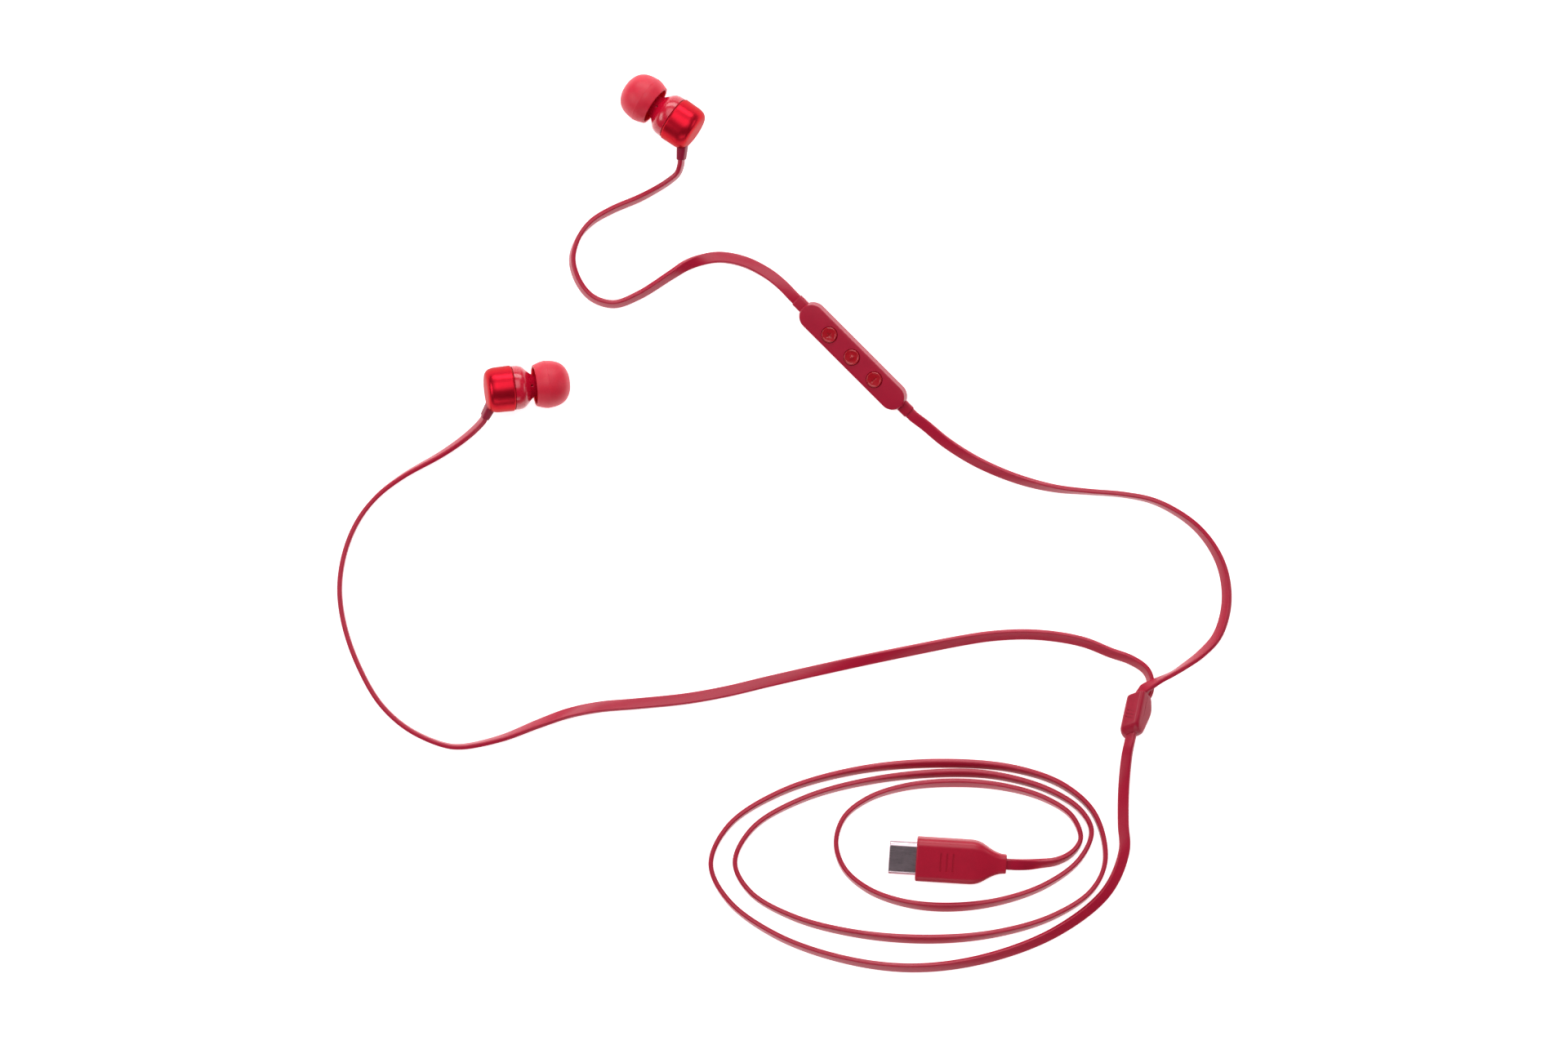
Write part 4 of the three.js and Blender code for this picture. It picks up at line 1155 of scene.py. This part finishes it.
def area_light(name, place, width, height, power):
    """A rectangular light aimed at the middle of the object."""
    light = bpy.data.lights.new(name, "AREA")
    light.shape = "RECTANGLE"
    light.size = width
    light.size_y = height
    light.energy = power
    lamp = in_scene(name, light)
    lamp.location = place
    lamp.rotation_euler = (Vector(MIDDLE) - Vector(place)).to_track_quat("-Z", "Y").to_euler()


def pale_floor():
    """White paper that glows a little, so that it stays white between the lights."""
    corners = [(x * FLOOR_HALF, y * FLOOR_HALF, 0) for x, y in ((-1, -1), (1, -1), (1, 1), (-1, 1))]
    mesh = bpy.data.meshes.new("floor")
    mesh.from_pydata(corners, [], [(0, 1, 2, 3)])
    paper = bpy.data.materials.new("pale_paper")
    paper.use_nodes = True
    shader = paper.node_tree.nodes["Principled BSDF"]
    shader.inputs["Base Color"].default_value = (0.93, 0.93, 0.93, 1)
    shader.inputs["Roughness"].default_value = 0.9
    shader.inputs["Emission Color"].default_value = (1, 1, 1, 1)
    shader.inputs["Emission Strength"].default_value = 0.75
    mesh.materials.append(paper)
    floor = in_scene("floor", mesh)


def dim_world():
    world = bpy.data.worlds.new("studio")
    bpy.context.scene.world = world
    world.use_nodes = True
    background = world.node_tree.nodes["Background"]
    background.inputs["Color"].default_value = (0.95, 0.95, 1.0, 1)
    background.inputs["Strength"].default_value = 0.08


def camera_above():
    """Looks straight down on the middle of the layout, from far off through a long lens."""
    lens = bpy.data.cameras.new("camera")
    lens.lens = 135
    lens.clip_start = 0.01
    camera = in_scene("camera", lens)
    camera.location = (SHIFT.x * MM, SHIFT.y * MM, CAMERA_HEIGHT)
    bpy.context.scene.camera = camera


def stage():
    pale_floor()
    dim_world()
    for name, light in LIGHTS.items():
        area_light(name, *light)
    camera_above()
    bpy.context.scene.view_settings.view_transform = "Standard"
    bpy.context.scene.view_settings.exposure = 0


# ---------------------------------------------------------------- assembly

stage()
inner_materials()
cords = cables()
earphone("right", RIGHT_EAR, RIGHT_ROLL)
earphone("left", LEFT_EAR, LEFT_ROLL)
remote()
splitter_half("front", FRONT_STATIONS, 1)
splitter_half("rear", REAR_STATIONS, -1)
plug_grip()
usb_shell()
